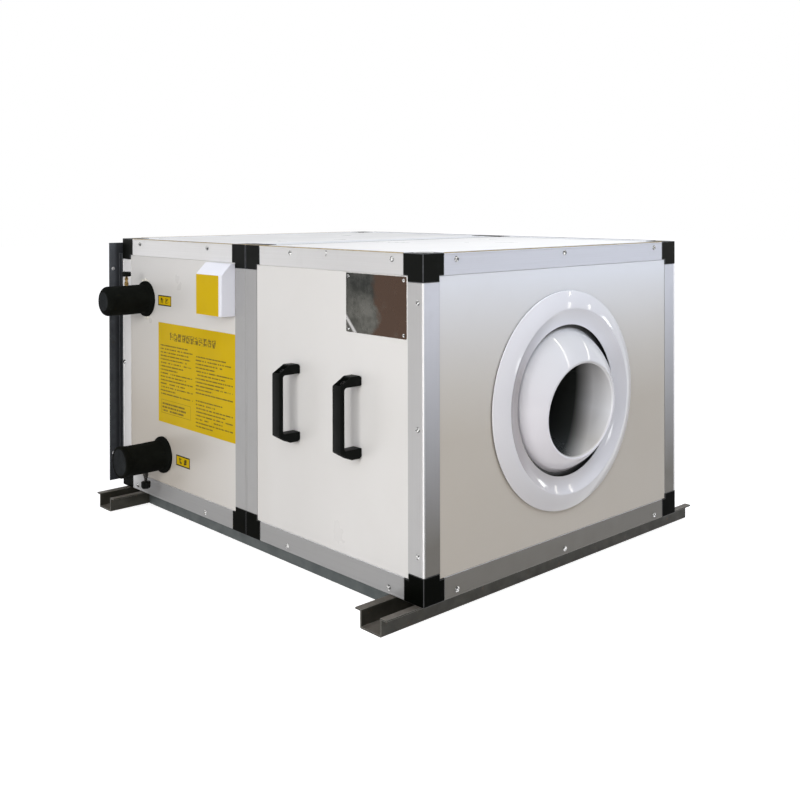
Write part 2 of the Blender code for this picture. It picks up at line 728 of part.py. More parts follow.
def inlet_flange():
    """Steel angle mitred round the inlet: one leg against the casing, one turned outwards."""
    half_y, half_z = SIDE_Y + FLANGE_LEG - FLANGE_SET, HEIGHT / 2 - FLANGE_INSET
    leg, sheet = FLANGE_LEG, FLANGE_SHEET
    start = INLET_X - GAP
    end = start - FLANGE_COLLAR
    section = [(0.0, end), (leg, end), (leg, start), (leg - sheet, start), (leg - sheet, end + sheet),
               (0.0, end + sheet)]
    bm = bmesh.new()
    loops = []
    for inset, x in section:
        y, z = half_y - inset, half_z - inset
        corners = ((-y, -z), (y, -z), (y, z), (-y, z))
        loops.append([bm.verts.new((x, u, MIDDLE_Z + v)) for u, v in corners])
    for first, second in zip(loops, loops[1:] + loops[:1]):
        for k in range(len(first)):
            n = (k + 1) % len(first)
            bm.faces.new((first[k], first[n], second[n], second[k]))
    return add_object("inlet_flange", bm, FLANGE_STEEL)


def inlet_filter():
    """Panel filter in the inlet: a border with a pleated sheet."""
    half_y, half_z = SIDE_Y - PROFILE - GAP, HEIGHT / 2 - PROFILE - GAP
    start = INLET_X + FILTER_SET
    end = start + FILTER_THICKNESS
    border = FILTER_BORDER
    outline = [(-half_y, -half_z), (half_y, -half_z), (half_y, half_z), (-half_y, half_z)]
    hole = [(u - math.copysign(border, u), v - math.copysign(border, v)) for u, v in outline]
    bm = prism(outline, start, end, lambda u, v, t: (t, u, MIDDLE_Z + v), [hole])
    made = add_object("inlet_filter", bm, FILTER_MEDIA)
    span = 2 * (half_y - border / 2)
    count = 2 * round(span / PLEAT_PITCH)
    middle = (start + end) / 2
    line = [(-span / 2 + span * i / count, (PLEAT_DEPTH / 2) * (1 if i % 2 else -1))
            for i in range(count + 1)]
    sheet = [(u, v - PLEAT_SHEET) for u, v in line] + [(u, v + PLEAT_SHEET) for u, v in reversed(line)]
    reach = half_z - border / 2
    pleats = add_object("pleats", prism(sheet, MIDDLE_Z - reach, MIDDLE_Z + reach,
                                        lambda u, v, t: (middle + v, u, t)), FILTER_MEDIA)
    combine(made, [pleats], "UNION")
    return made


# Pipes and valves

def pipe_stub(name, pipe, lip, valve_reach, valve_radius, way):
    """Foam sleeve with a rosette and a spigot into the panel, drilled for its valve."""
    x, z = pipe
    face = PANEL_FACE_Y - GAP
    end = PIPE_LENGTH
    rosette, thick = ROSETTE_RADIUS, ROSETTE_THICKNESS
    profile = [(0.0, -PANEL_THICKNESS), (SPIGOT_RADIUS, -PANEL_THICKNESS), (SPIGOT_RADIUS, 0.0),
               (rosette, 0.0), (rosette, thick / 2),
               *arc((rosette - thick / 2, thick / 2), thick / 2, 0, 90, ROUND_STEPS)[1:],
               (PIPE_RADIUS, thick)]
    if lip:
        lip_start = end - PIPE_END_ROUND
        profile += [(PIPE_RADIUS, lip_start - 2 * PIPE_LIP), (PIPE_RADIUS + PIPE_LIP, lip_start),
                    (PIPE_RADIUS + PIPE_LIP, end - PIPE_LIP), (PIPE_RADIUS, end),
                    (PIPE_RADIUS - PIPE_END_ROUND, end - PIPE_LIP), (0.0, end - PIPE_LIP)]
    else:
        middle = (PIPE_RADIUS - PIPE_END_ROUND, end - PIPE_END_ROUND)
        profile += [*arc(middle, PIPE_END_ROUND, 0, 90, ROUND_STEPS), (0.0, end)]
    bm = turned(profile, (x, face, z), (0, -1, 0), PIPE_SEGMENTS, closed=False)
    made = add_object(name, bm, FOAM, smooth=True)
    radius = valve_radius + GAP
    bottom = PIPE_RADIUS - VALVE_SINK - GAP
    cut = [(0.0, bottom), (radius, bottom), (radius, 2 * PIPE_RADIUS), (0.0, 2 * PIPE_RADIUS)]
    socket = add_object("socket", turned(cut, (x, face - valve_reach, z), (0, 0, way),
                                         VALVE_SEGMENTS, closed=False), FOAM)
    combine(made, [socket], "DIFFERENCE")
    return made


def valve_body(name, pipe, reach, base, tip, height, way, finish):
    """Turned valve body standing in the foam sleeve, with a stem for its knob."""
    x, z = pipe
    start = PIPE_RADIUS - VALVE_SINK
    top = PIPE_RADIUS + height
    profile = [(0.0, start), (base, start), (base, PIPE_RADIUS + height * VALVE_SHOULDER),
               (tip, PIPE_RADIUS + height * VALVE_NECK), (tip, top), (STEM_RADIUS, top),
               (STEM_RADIUS, top + STEM_GRIP), (0.0, top + STEM_GRIP)]
    bm = turned(profile, (x, PANEL_FACE_Y - GAP - reach, z), (0, 0, way), VALVE_SEGMENTS,
                closed=False)
    return add_object(name, bm, finish, smooth=True)


def knob(name, pipe, reach, base, radius, height, way):
    """Fluted knob on a valve's stem, with its origin on the stem's axis."""
    x, z = pipe
    origin = Vector((x, PANEL_FACE_Y - GAP - reach, z + way * (PIPE_RADIUS + base + GAP)))
    segments = KNOB_LOBES * LOBE_STEPS
    edge = radius * KNOB_EDGE
    levels = [(0.0, radius - edge), (edge, radius), (height - 2 * edge, radius),
              (height - edge / 2, radius - edge / 2), (height, radius - 2 * edge)]
    bm = bmesh.new()
    bore = STEM_RADIUS + STEM_CLEARANCE

    def ring(along, size, wavy):
        made = []
        for k in range(segments):
            angle = 2 * math.pi * k / segments
            wave = 1.0 - (KNOB_FLUTE if wavy and k % LOBE_STEPS == 0 else 0.0)
            made.append(bm.verts.new((size * wave * math.cos(angle), size * wave * math.sin(angle),
                                      way * along)))
        return made

    rings = [ring(0.0, bore, False)] + [ring(a, r, True) for a, r in levels]
    for first, second in zip(rings, rings[1:]):
        for k in range(segments):
            n = (k + 1) % segments
            bm.faces.new((first[k], first[n], second[n], second[k]))
    bm.faces.new(rings[-1])
    floor = ring(STEM_GRIP + GAP, bore, False)
    for k in range(segments):
        n = (k + 1) % segments
        bm.faces.new((floor[k], floor[n], rings[0][n], rings[0][k]))
    bm.faces.new(floor)
    made = add_object(name, bm, KNOB_BLACK, smooth=True)
    made.location = origin
    return made


def pipework():
    """Two pipe stubs with a vent valve on the upper and a drain valve under the lower."""
    pipe_stub("upper_pipe", UPPER_PIPE, False, VENT_REACH, VENT_RADIUS, 1)
    pipe_stub("lower_pipe", LOWER_PIPE, True, DRAIN_REACH, DRAIN_RADIUS, -1)
    valve_body("vent_valve", UPPER_PIPE, VENT_REACH, VENT_RADIUS, VENT_TIP_RADIUS, VENT_HEIGHT, 1,
               BRASS)
    valve_body("drain_valve", LOWER_PIPE, DRAIN_REACH, DRAIN_RADIUS, DRAIN_TIP_RADIUS,
               DRAIN_HEIGHT, -1, VALVE_DARK)
    knob("vent_knob", UPPER_PIPE, VENT_REACH, VENT_HEIGHT, VENT_KNOB_RADIUS, VENT_KNOB_HEIGHT, 1)
    knob("drain_knob", LOWER_PIPE, DRAIN_REACH, DRAIN_HEIGHT, DRAIN_KNOB_RADIUS,
         DRAIN_KNOB_HEIGHT, -1)


# Terminal box and handles

def terminal_box():
    """Box with a sloped top at the upper corner of the coil side panel."""
    right = JOINT_X - PROFILE - GAP
    top = TOP_Z - BOX_DROP
    bottom = top - BOX_HEIGHT
    outline = [(0.0, bottom), (BOX_DEPTH, bottom), (BOX_DEPTH, top - BOX_SLOPE),
               (BOX_DEPTH - BOX_SLOPE, top), (0.0, top)]
    face = PANEL_FACE_Y - GAP
    bm = prism(outline, right - BOX_WIDTH, right, lambda u, v, t: (t, face - u, v))
    made = add_object("terminal_box", bm, BOX_WHITE)
    soften(made, BOX_EDGE, 2)
    return made


def handle(name, x):
    """Bridge handle with sloped shoulders, each with a pocket for its screw."""
    half, reach, foot = HANDLE_LENGTH / 2, HANDLE_REACH, HANDLE_FOOT
    slope_y, slope_z = HANDLE_SLOPE_REACH, HANDLE_SLOPE_HEIGHT
    under = reach - HANDLE_GRIP
    upper = [(0.0, half), (reach - slope_y, half), (reach, half - slope_z)]
    fillet = HANDLE_FILLET
    inner = [(under, half - foot - fillet), (under - fillet, half - foot), (0.0, half - foot)]
    outline = upper + [(u, -v) for u, v in reversed(upper)]
    outline += [(u, -v) for u, v in reversed(inner)] + inner
    face = PANEL_FACE_Y - GAP

    def place(u, v, t):
        return t, face - u, MIDDLE_Z + v

    made = add_object(name, prism(outline, x - HANDLE_WIDTH / 2, x + HANDLE_WIDTH / 2, place),
                      HANDLE_BLACK)
    soften(made, HANDLE_EDGE, 1)
    apply_modifiers(made)
    rim, depth = HANDLE_POCKET_RIM, HANDLE_POCKET_DEPTH
    slope = math.hypot(slope_y, slope_z)
    along = Vector((-slope_y, slope_z)) / slope
    inward = Vector((-slope_z, -slope_y)) / slope
    start = Vector((reach, half - slope_z)) + along * rim
    end = start + along * (slope - 2 * rim)
    pocket = [start - inward * depth, end - inward * depth, end + inward * depth,
              start + inward * depth]
    cutters = []
    for sign in (1, -1):
        shape = [(p[0], sign * p[1]) for p in pocket]
        width = HANDLE_WIDTH / 2 - rim
        cutters.append(add_object("pocket", prism(shape, x - width, x + width, place), HANDLE_BLACK))
    combine(made, cutters, "DIFFERENCE")
    return made


def handles():
    """Two handles on the access panel, either side of its middle."""
    middle = (JOINT_X + NOZZLE_X) / 2
    handle("inlet_side_handle", middle - HANDLE_SPACING / 2)
    handle("nozzle_side_handle", middle + HANDLE_SPACING / 2)


def build():
    """Make the whole unit."""
    for old in list(bpy.data.objects):
        bpy.data.objects.remove(old, do_unlink=True)
    casing_frame()
    casing_panels()
    base()
    nozzle_ring()
    nozzle_seal()
    nozzle_ball()
    inlet_flange()
    inlet_filter()
    pipework()
    terminal_box()
    handles()


build()
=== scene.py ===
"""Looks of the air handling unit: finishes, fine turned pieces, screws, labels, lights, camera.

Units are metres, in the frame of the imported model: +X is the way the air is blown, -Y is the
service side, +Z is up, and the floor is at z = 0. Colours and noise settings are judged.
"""
import json
import math
import random

import bmesh
import bpy
from mathutils import Matrix, Vector


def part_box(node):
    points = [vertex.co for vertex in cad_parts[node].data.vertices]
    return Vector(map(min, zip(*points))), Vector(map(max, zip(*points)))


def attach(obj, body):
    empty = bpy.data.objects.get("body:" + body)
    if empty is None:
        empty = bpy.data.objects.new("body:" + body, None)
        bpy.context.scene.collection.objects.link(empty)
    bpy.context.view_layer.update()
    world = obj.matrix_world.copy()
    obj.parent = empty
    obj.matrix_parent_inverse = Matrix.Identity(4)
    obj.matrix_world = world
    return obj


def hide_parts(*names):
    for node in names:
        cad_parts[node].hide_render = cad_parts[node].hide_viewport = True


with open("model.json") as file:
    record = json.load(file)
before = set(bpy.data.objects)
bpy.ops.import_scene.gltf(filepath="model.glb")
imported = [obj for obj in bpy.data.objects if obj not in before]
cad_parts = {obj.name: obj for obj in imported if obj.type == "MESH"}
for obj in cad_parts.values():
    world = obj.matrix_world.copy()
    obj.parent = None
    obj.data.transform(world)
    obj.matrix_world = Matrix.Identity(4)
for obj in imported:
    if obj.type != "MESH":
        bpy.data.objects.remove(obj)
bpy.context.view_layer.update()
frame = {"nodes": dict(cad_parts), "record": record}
RANDOM = random.Random(7)

# Places read from the frame

RING_LOW, RING_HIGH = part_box("nozzle_end_frame")
NOZZLE_X, INLET_X = RING_HIGH.x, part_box("inlet_end_frame")[0].x
SERVICE_Y, BACK_Y = RING_LOW.y, RING_HIGH.y
CASING_BOTTOM, CASING_TOP = RING_LOW.z, RING_HIGH.z
PANEL_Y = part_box("access_panel")[0].y
COIL_PANEL_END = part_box("coil_side_panel")[1].x
FACE_RING_LOW, FACE_RING_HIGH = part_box("nozzle_ring")
FLANGE_LOW, FLANGE_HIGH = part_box("inlet_flange")
JOINT_X = sum(corner.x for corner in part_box("joint_frame")) / 2

PLATE_CENTRE = Vector((NOZZLE_X - 0.114, PANEL_Y, CASING_BOTTOM + 0.4625))

BAR_WIDTH = 0.036
# The flat faces of the frame bars lie this far behind their rounded outer edges
BAR_FLAT = 0.0006

# Ball jet nozzle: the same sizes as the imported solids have
BALL_RADIUS = 0.148
BALL_DEPTH = 0.077
BALL_SHEET = 0.003
BALL_REAR_ANGLE = 138.0
BALL_TILT = 6.5
BALL_SWIVEL = 30.0
BORE_RADIUS = 0.0825
BORE_LIP = 0.004
THROAT_REAR_RADIUS = 0.070
THROAT_SETBACK = 0.012
MOUTH_RADIUS = math.sqrt(BALL_RADIUS ** 2 - (BALL_DEPTH + 0.004) ** 2) + 0.0106
MOUTH_HEIGHT = 0.004
DISH_WIDTH = 0.029
DISH_POWER = 1.6
CREST_RADIUS = MOUTH_RADIUS + DISH_WIDTH
CREST_HEIGHT = 0.015
CREST_ROUND = 0.0012
BAND_WIDTH = 0.0305
BAND_TURN = math.radians(62.0)
RIM = 0.0022
RIM_HEIGHT = 0.0030
RING_SHEET = 0.003
RING_SEAT = -0.0009
SLEEVE_RADIUS = BALL_RADIUS + 0.009
SLEEVE_WALL = 0.0025
SLEEVE_REAR_ANGLE = 110.0
SEAL_FRONT = 0.003
SEAL_THICKNESS = 0.012
SEAL_CLEARANCE = 0.0005
TURNED_SEGMENTS = 160
BALL_CENTRE = Vector((NOZZLE_X - BALL_DEPTH, 0.0, (FACE_RING_LOW.z + FACE_RING_HIGH.z) / 2))

# Pipe stubs with their rosettes
PIPE_RADIUS = 0.031
PIPE_LENGTH = 0.100
PIPE_END_ROUND = 0.011
PIPE_LIP = 0.0015
ROSETTE_RADIUS = 0.038
ROSETTE_THICKNESS = 0.006
SPIGOT_RADIUS = 0.014
SPIGOT_LENGTH = 0.025

# Fasteners, plates and printed films
HANDLE_SCREW_RADIUS = 0.0042
SCREW_RADIUS = 0.0047
SCREW_HEIGHT = 0.0028
RIVET_RADIUS = 0.0030
RIVET_HEIGHT = 0.0012
FILM = 0.0003
# The longest quarter of the printed rows reach the right edge
RAGGED = 0.75
NAME_PLATE_THICKNESS = 0.0008

# Edge rounding in metres, and the colour of the paler rounded edge, patchy like wear: a painted
# highlight
EDGES = {"black_nylon": (0.0011, (0.075, 0.080, 0.088)),
         "base_steel": (0.0006, (0.17, 0.16, 0.14)),
         "member_steel": (0.0006, (0.20, 0.21, 0.21)),
         "flange_steel": (0.0006, (0.10, 0.11, 0.12))}
# Panels that lie this near the nozzle end are part of its face
PANEL_FACE_ZONE = 0.031
# Heights between which the light on the dark pieces grows
CORNER_HEIGHTS = (0.08, 0.50)

# Stage
WHITE = (1.0, 1.0, 1.0)
FLOOR_REACH = 14.0
CEILING = 2.6

# Camera, solved from the casing's edges in the photograph
PICTURE = 800.0
FOCAL_PIXELS = 1018.27
PRINCIPAL_POINT = (436.575, 206.14)
CAMERA_PLACE = (NOZZLE_X + 1.1451, SERVICE_Y - 1.0787, CASING_BOTTOM + 0.6299)
CAMERA_YAW = 2.372644
CAMERA_PITCH = -0.0041595
CAMERA_ROLL = -0.0018975
SENSOR = 36.0


# Materials

class Tree:
    """A node tree, with short ways to add nodes to it."""

    def __init__(self, owner, cleared=True):
        owner.use_nodes = True
        self.nodes, self.links = owner.node_tree.nodes, owner.node_tree.links
        if cleared:
            self.nodes.clear()

    def fill(self, socket, value):
        """Link an output to an input, or give the input a value; colours come without alpha."""
        if isinstance(value, bpy.types.NodeSocket):
            self.links.new(value, socket)
        else:
            socket.default_value = (*value, 1.0) if socket.type == "RGBA" else value

    def node(self, kind, inputs, output=0, **settings):
        """Output of a new node with its settings, and values or links for its inputs."""
        made = self.nodes.new("ShaderNode" + kind)
        for key, value in settings.items():
            setattr(made, key, value)
        for key, value in inputs.items():
            self.fill(made.inputs[key], value)
        return made.outputs[output]

    def levels(self, value, low, high, start=0.0, end=1.0):
        """Map the range low to high of a value on to start to end, clamped."""
        return self.node("MapRange", {"Value": value, "From Min": low, "From Max": high,
                                      "To Min": start, "To Max": end})

    def math(self, operation, first, second=0.0):
        """One arithmetic step."""
        return self.node("Math", {0: first, 1: second}, operation=operation)

    def mix(self, factor, first, second, **settings):
        """Mix two colours or colour outputs."""
        return self.node("Mix", {0: factor, 6: first, 7: second}, 2, data_type="RGBA", **settings)


class Finish(Tree):
    """A principled material whose colour, roughness and bump come from noise in real metres.

    The colour it starts with is for programs that read no nodes.
    """

    def __init__(self, name, colour, roughness, metallic=0.0, specular=0.5):
        self.material = bpy.data.materials.new(name)
        super().__init__(self.material, cleared=False)
        self.shader = self.nodes["Principled BSDF"]
        self.source = self.nodes.new("ShaderNodeTexCoord")
        self.place = self.source.outputs["Object"]
        self.x, self.y, self.z = (self.node("SeparateXYZ", {0: self.place}, i) for i in range(3))
        self.set("Base Color", colour)
        self.set("Roughness", roughness)
        self.set("Metallic", metallic)
        self.set("Specular IOR Level", specular)

    def set(self, socket, value):
        """Give the shader a value, or link an output to it."""
        self.fill(self.shader.inputs[socket], value)

    def stretched(self, scale):
        """Object coordinates scaled along each axis."""
        return self.node("Mapping", {"Vector": self.place, "Scale": scale})

    def normal(self, index):
        """One part of the surface's direction."""
        return self.node("SeparateXYZ", {0: self.source.outputs["Normal"]}, index)

    def noise(self, scale, detail=3.0, stretch=None, rough=0.5):
        """Noise from 0 to 1; scale is in cycles a metre."""
        place = self.stretched(stretch) if stretch else self.place
        return self.node("TexNoise", {"Vector": place, "Scale": scale, "Detail": detail,
                                      "Roughness": rough})

    def clouds(self, scale, detail, low=0.35, high=0.7, amount=1.0, rough=0.5):
        """Patches of noise, from 0 where it is low to an amount where it is high."""
        return self.levels(self.noise(scale, detail, rough=rough), low, high, 0.0, amount)

    def product(self, *values):
        """Product of several factors."""
        made = values[0]
        for value in values[1:]:
            made = self.math("MULTIPLY", made, value)
        return made

    def above(self, value, limit):
        """1 where a value is above a limit."""
        return self.math("GREATER_THAN", value, limit)

    def between(self, value, low, high):
        """1 where a value lies between two others."""
        return self.product(self.above(value, low), self.math("LESS_THAN", value, high))

    def tinted(self, colour, tone):
        """A colour times a grey tone."""
        return self.mix(1.0, colour, tone, blend_type="MULTIPLY")

    def tones(self, factor, first, second):
        """Colour the surface from one tone to another."""
        self.set("Base Color", self.mix(factor, first, second))

    def gloss(self, scale, detail, start, end):
        """Let the roughness vary in patches."""
        self.set("Roughness", self.levels(self.noise(scale, detail), 0.3, 0.7, start, end))

    def bump(self, *layers):
        """Bump from layers, the deepest first: a distance, and a height or what noise takes."""
        below = {}
        for distance, *height in layers:
            if not isinstance(height[0], bpy.types.NodeSocket):
                height = [self.noise(*height)]
            below["Normal"] = self.node("Bump", {"Height": height[0], "Distance": distance,
                                                 "Strength": 1.0, **below})
        self.set("Normal", below["Normal"])


def scaled(colour, factor):
    """A colour made darker."""
    return tuple(factor * value for value in colour)


def patchy(name, patches, first, second, roughness, *bumps, gloss=(), metallic=0.0,
           specular=0.5):
    """Finish of two tones; patches, bumps and gloss are what the methods of Finish take."""
    made = Finish(name, first, roughness, metallic, specular)
    made.tones(made.clouds(*patches), first, second)
    if gloss:
        made.gloss(*gloss)
    if bumps:
        made.bump(*bumps)
    return made.material


def panel_coat():
    """Off-white coil coated sheet: faint waviness, fine orange peel and light smudges, with
    painted cool light high on the nozzle end, painted warm shade low on the nozzle end and towards
    the inlet, and painted light on the top faces.
    """
    made = Finish("panel_coat", (0.76, 0.75, 0.735), 0.34)
    x, z = made.x, made.z
    at_nozzle = made.above(x, NOZZLE_X - PANEL_FACE_ZONE)
    clouds = made.clouds(2.6, 2, 0.35, 0.65)
    colour = made.mix(clouds, (0.780, 0.775, 0.765), (0.745, 0.738, 0.725))
    # Painted cool light: the upper part of the nozzle end face turns bluish pale.
    painted_cool_light = made.product(at_nozzle, made.levels(z, 0.36, 0.53))
    colour = made.mix(painted_cool_light, colour, (0.845, 0.865, 0.915))
    # Painted shade: the lower part of the nozzle end face, and low down towards the inlet, turn
    # darker and warmer.
    painted_shade_nozzle = made.product(at_nozzle, made.levels(z, 0.53, 0.28))
    painted_shade_inlet = made.product(made.levels(x, -0.35, -0.75), made.levels(z, 0.52, 0.20))
    warm = made.mix(clouds, (0.575, 0.530, 0.465), (0.550, 0.505, 0.440))
    colour = made.mix(made.math("MAXIMUM", painted_shade_nozzle, painted_shade_inlet), colour, warm)
    # Painted light: upward faces towards the nozzle end are paler.
    painted_top_light = made.product(made.levels(made.normal(2), 0.8, 0.95),
                          made.levels(x, -0.60, -0.20))
    colour = made.mix(painted_top_light, colour, (0.93, 0.91, 0.885))
    made.tones(made.clouds(12, 3, 0.45, 0.95, 0.12), colour, (0.60, 0.575, 0.54))
    made.gloss(9, 4, 0.27, 0.40)
    made.bump((0.0012, 4.5, 1), (0.00001, 700, 2))
    return made.material


def nozzle_coat(name="nozzle_coat", part=""):
    """Glossy white powder coat. The ball's body, bore wall and throat get painted light and shade,
    the throat turning nearly black with depth; the ring's dish gets painted reflections.
    """
    made = Finish(name, (0.72, 0.715, 0.75), 0.16, specular=0.25)
    made.set("Coat Weight", 0.9)
    made.set("Coat Roughness", 0.03)
    clouds = made.clouds(5, 3)
    colour = made.mix(clouds, (0.735, 0.73, 0.765), (0.70, 0.695, 0.73))
    y, z = made.y, made.z
    radius = made.node("VectorMath", {0: made.stretched((0.0, 1.0, 1.0))}, 1, operation="LENGTH")
    if part == "ball":
        # Painted light and shade: the ball is bluish white low down and turns grey higher up.
        colour = made.mix(made.levels(z, -0.04, 0.12),
                          made.mix(clouds, (0.87, 0.86, 0.925), (0.84, 0.83, 0.895)),
                          made.mix(clouds, (0.605, 0.60, 0.61), (0.58, 0.575, 0.585)))
        inside = made.levels(radius, BORE_RADIUS + 0.0025, BORE_RADIUS + 0.0010)
        # Painted light and shade on the bore wall: bluish white high up, warm grey low down.
        inner_surface = made.mix(made.levels(z, -0.065, -0.015), (0.60, 0.575, 0.545), (0.945, 0.96, 1.0))
        colour = made.mix(inside, colour, inner_surface)
        # Painted shade: the throat turns nearly black with depth, beginning deeper on the lit +Y
        # side.
        turn = made.levels(y, -0.30 * BORE_RADIUS, 0.92 * BORE_RADIUS, 0.0, 0.064)
        deep = made.levels(made.math("ADD", made.x, turn), 0.141, 0.099)
        colour = made.mix(made.product(inside, deep), colour, (0.050, 0.054, 0.053))
    if part == "ring":
        # Painted reflections on the dish: darker on the service side, bluish pale at the top.
        dish = made.levels(radius, CREST_RADIUS + 0.0003, CREST_RADIUS - 0.0003)
        colour = made.mix(made.product(dish, made.levels(y, -0.02, -0.13)), colour,
                          (0.455, 0.420, 0.420))
        colour = made.mix(made.product(dish, made.levels(z, 0.05, 0.14)), colour,
                          (0.84, 0.85, 0.92))
    made.set("Base Color", colour)
    made.gloss(16, 3, 0.12, 0.20)
    made.bump((0.0003, 9, 1))
    return made.material


def aluminium(name, along_x, tone, metallic):
    """Satin extruded aluminium with drawing lines along X, or along the posts and cross bars; tone
    paints light and shade by place, upward faces get painted light, and the rounded outer edges of
    the end posts a painted highlight.
    """
    made = Finish(name, (0.5, 0.5, 0.5), 0.42, metallic)
    fine, coarse = 900.0, 6.0
    if along_x:
        lines = made.noise(1.0, 3, (coarse, fine, fine))
        wide = made.noise(1.0, 2, (2.0, 110.0, 110.0))
    else:
        post_edge = (BACK_Y - SERVICE_Y) / 2 - BAR_WIDTH
        is_post = made.above(made.math("ABSOLUTE", made.y), post_edge)
        lines = made.node("Mix", {0: is_post, 2: made.noise(1.0, 3, (fine, coarse, fine)),
                                  3: made.noise(1.0, 3, (fine, fine, coarse))}, data_type="FLOAT")
        wide = made.noise(40, 2)
    colour = made.mix(made.levels(lines, 0.3, 0.7), (0.955, 0.955, 0.96), (1.0, 1.0, 1.01))
    colour = made.mix(made.clouds(22, 4, 0.58, 0.78, 0.22, 0.6), colour, (0.78, 0.77, 0.76))
    # Painted light: upward faces take a fixed pale tone.
    painted_top_light = made.levels(made.normal(2), 0.75, 0.95)
    shade = made.mix(painted_top_light, tone(made), (0.86, 0.87, 0.89))
    # Painted highlight: the rounded outer edges of the end posts turn white.
    slant = made.math("ABSOLUTE", made.product(made.normal(0), made.normal(1)))
    outer = made.math("MAXIMUM", made.above(made.x, NOZZLE_X - 0.004),
                      made.math("LESS_THAN", made.x, INLET_X + 0.004))
    shade = made.mix(made.product(made.levels(slant, 0.12, 0.34), outer), shade, (1.0, 1.0, 1.0))
    made.set("Base Color", made.tinted(colour, shade))
    made.set("Roughness", made.levels(wide, 0.3, 0.7, 0.36, 0.48))
    made.bump((0.000012, lines))
    return made.material


def bar_light_and_shade(made):
    """Painted shade and light on the long bars: grey low down, and pale high up, palest at the
    inlet end.
    """
    low = made.levels(made.x, -0.93, -0.82, 1.0, 0.325)
    high = made.levels(made.x, -0.80, -0.15, 0.88, 0.64)
    return made.levels(made.z, 0.20, 0.40, low, high)


def ring_light_and_shade(made):
    """Painted light and shade on the end rings and joint bars: pale at the inlet, darker low down
    on the nozzle side.
    """
    x, z = made.x, made.z
    service = made.math("ADD", made.levels(x, -0.40, -0.05, 0.39, 0.47),
                        made.levels(x, -0.70, -0.85, 0.0, 0.52))
    nozzle_end = made.product(made.above(made.normal(0), 0.7),
                              made.above(x, NOZZLE_X - 0.04))
    # Painted shade low down and painted cool light high up on the faces of the nozzle end.
    cool = made.mix(made.levels(z, 0.12, 0.50), (0.130, 0.121, 0.104), (0.67, 0.685, 0.745))
    return made.mix(nozzle_end, service, cool)


def nylon():
    """Black moulded nylon with a fine grain and a slight sheen; colour and sheen darken towards
    the floor as painted shade, and a paler stripe beside the joint is a painted highlight.
    """
    made = Finish("black_nylon", (0.006, 0.0065, 0.006), 0.42)
    # Painted shade: colour and sheen grow darker towards the floor.
    height = made.levels(made.z, *CORNER_HEIGHTS)
    made.set("Specular IOR Level", made.levels(height, 0.0, 1.0, 0.012, 0.06))
    plain = made.mix(height, (0.0012, 0.0016, 0.0010), (0.0022, 0.0028, 0.0020))
    colour = made.mix(made.clouds(60, 4, 0.55, 0.80, 0.5, 0.65), plain,
                      made.mix(height, (0.003, 0.0035, 0.003), (0.0085, 0.0095, 0.0090)))
    # Painted highlight: a paler stripe beside the joint between the two corner pieces, brighter
    # higher up.
    apart = made.math("ABSOLUTE", made.math("SUBTRACT", made.x, JOINT_X))
    painted_joint_highlight = made.product(made.between(apart, 0.0012, 0.0032),
                          made.levels(height, 0.0, 1.0, 0.15, 0.8))
    made.tones(painted_joint_highlight, colour, (0.040, 0.043, 0.048))
    made.gloss(35, 3, 0.36, 0.52)
    made.bump((0.00006, 150, 2), (0.00002, 1500, 2))
    return made.material


def moulded_black(name, grain=1400.0):
    """Black moulded plastic with a fine spark grain."""
    return patchy(name, (40, 3), (0.0022, 0.0028, 0.0022), (0.0050, 0.0058, 0.0052), 0.45,
                  (0.00004, grain, 2), gloss=(25, 3, 0.38, 0.5), specular=0.06)


def flange_light_and_shade(made, colour):
    """Painted light and shade: paler and bluer high up, darker in the corner against the casing.
    """
    colour = made.mix(made.levels(made.z, 0.40, 0.56), colour, (0.088, 0.095, 0.108))
    outward = made.math("ABSOLUTE", made.y)
    return made.mix(made.levels(outward, BACK_Y + 0.014, BACK_Y + 0.007, 0.0, 0.65), colour,
                    (0.008, 0.009, 0.011))


def mill_steel(name, dark, light, rust_amount, toned=None):
    """Rolled steel: mill scale in two tones, with rust and pale spots; upward faces are paler and
    browner as painted light, and toned adds painted light and shade where given.
    """
    made = Finish(name, dark, 0.5, 0.2, 0.3)
    scale = made.clouds(30, 5, 0.35, 0.68, rough=0.6)
    # Painted light: upward faces are paler and browner.
    colour = made.mix(made.levels(made.normal(2), 0.5, 0.9), made.mix(scale, dark, light),
                      made.mix(scale, (0.108, 0.097, 0.081), (0.165, 0.149, 0.130)))
    rust = made.clouds(70, 6, 0.62, 0.74, rust_amount, 0.7)
    colour = made.mix(rust, colour, (0.16, 0.075, 0.038))
    colour = made.mix(made.clouds(120, 4, 0.68, 0.80, 0.3, 0.7), colour, (0.20, 0.19, 0.17))
    made.set("Base Color", toned(made, colour) if toned else colour)
    made.gloss(45, 4, 0.42, 0.62)
    made.bump((0.00010, 90, 4), (0.00003, 900, 3))
    return made.material


def edge_highlight_and_wear(name, colour, low=1.0):
    """Paler rounded edge of a darker piece, patchy like wear: a painted highlight; low is how
    bright it stays near the floor, as painted shade.
    """
    made = Finish(name, colour, 0.35)
    shown = made.mix(made.clouds(120, 4, 0.35, 0.65, rough=0.6), colour, scaled(colour, 0.5))
    made.set("Base Color", made.tinted(shown, made.levels(made.z, *CORNER_HEIGHTS, low)))
    made.bump((0.00002, 600, 2))
    return made.material


def foam(name, dark, light, cell):
    """Closed cell black foam: fine cells, no gloss."""
    made = Finish(name, dark, 0.9, specular=0.04)
    made.tones(made.clouds(45, 4), dark, light)
    cells = made.node("TexVoronoi", {"Vector": made.place, "Scale": 900.0})
    made.bump((0.0004, 60, 3), (cell, cells))
    return made.material


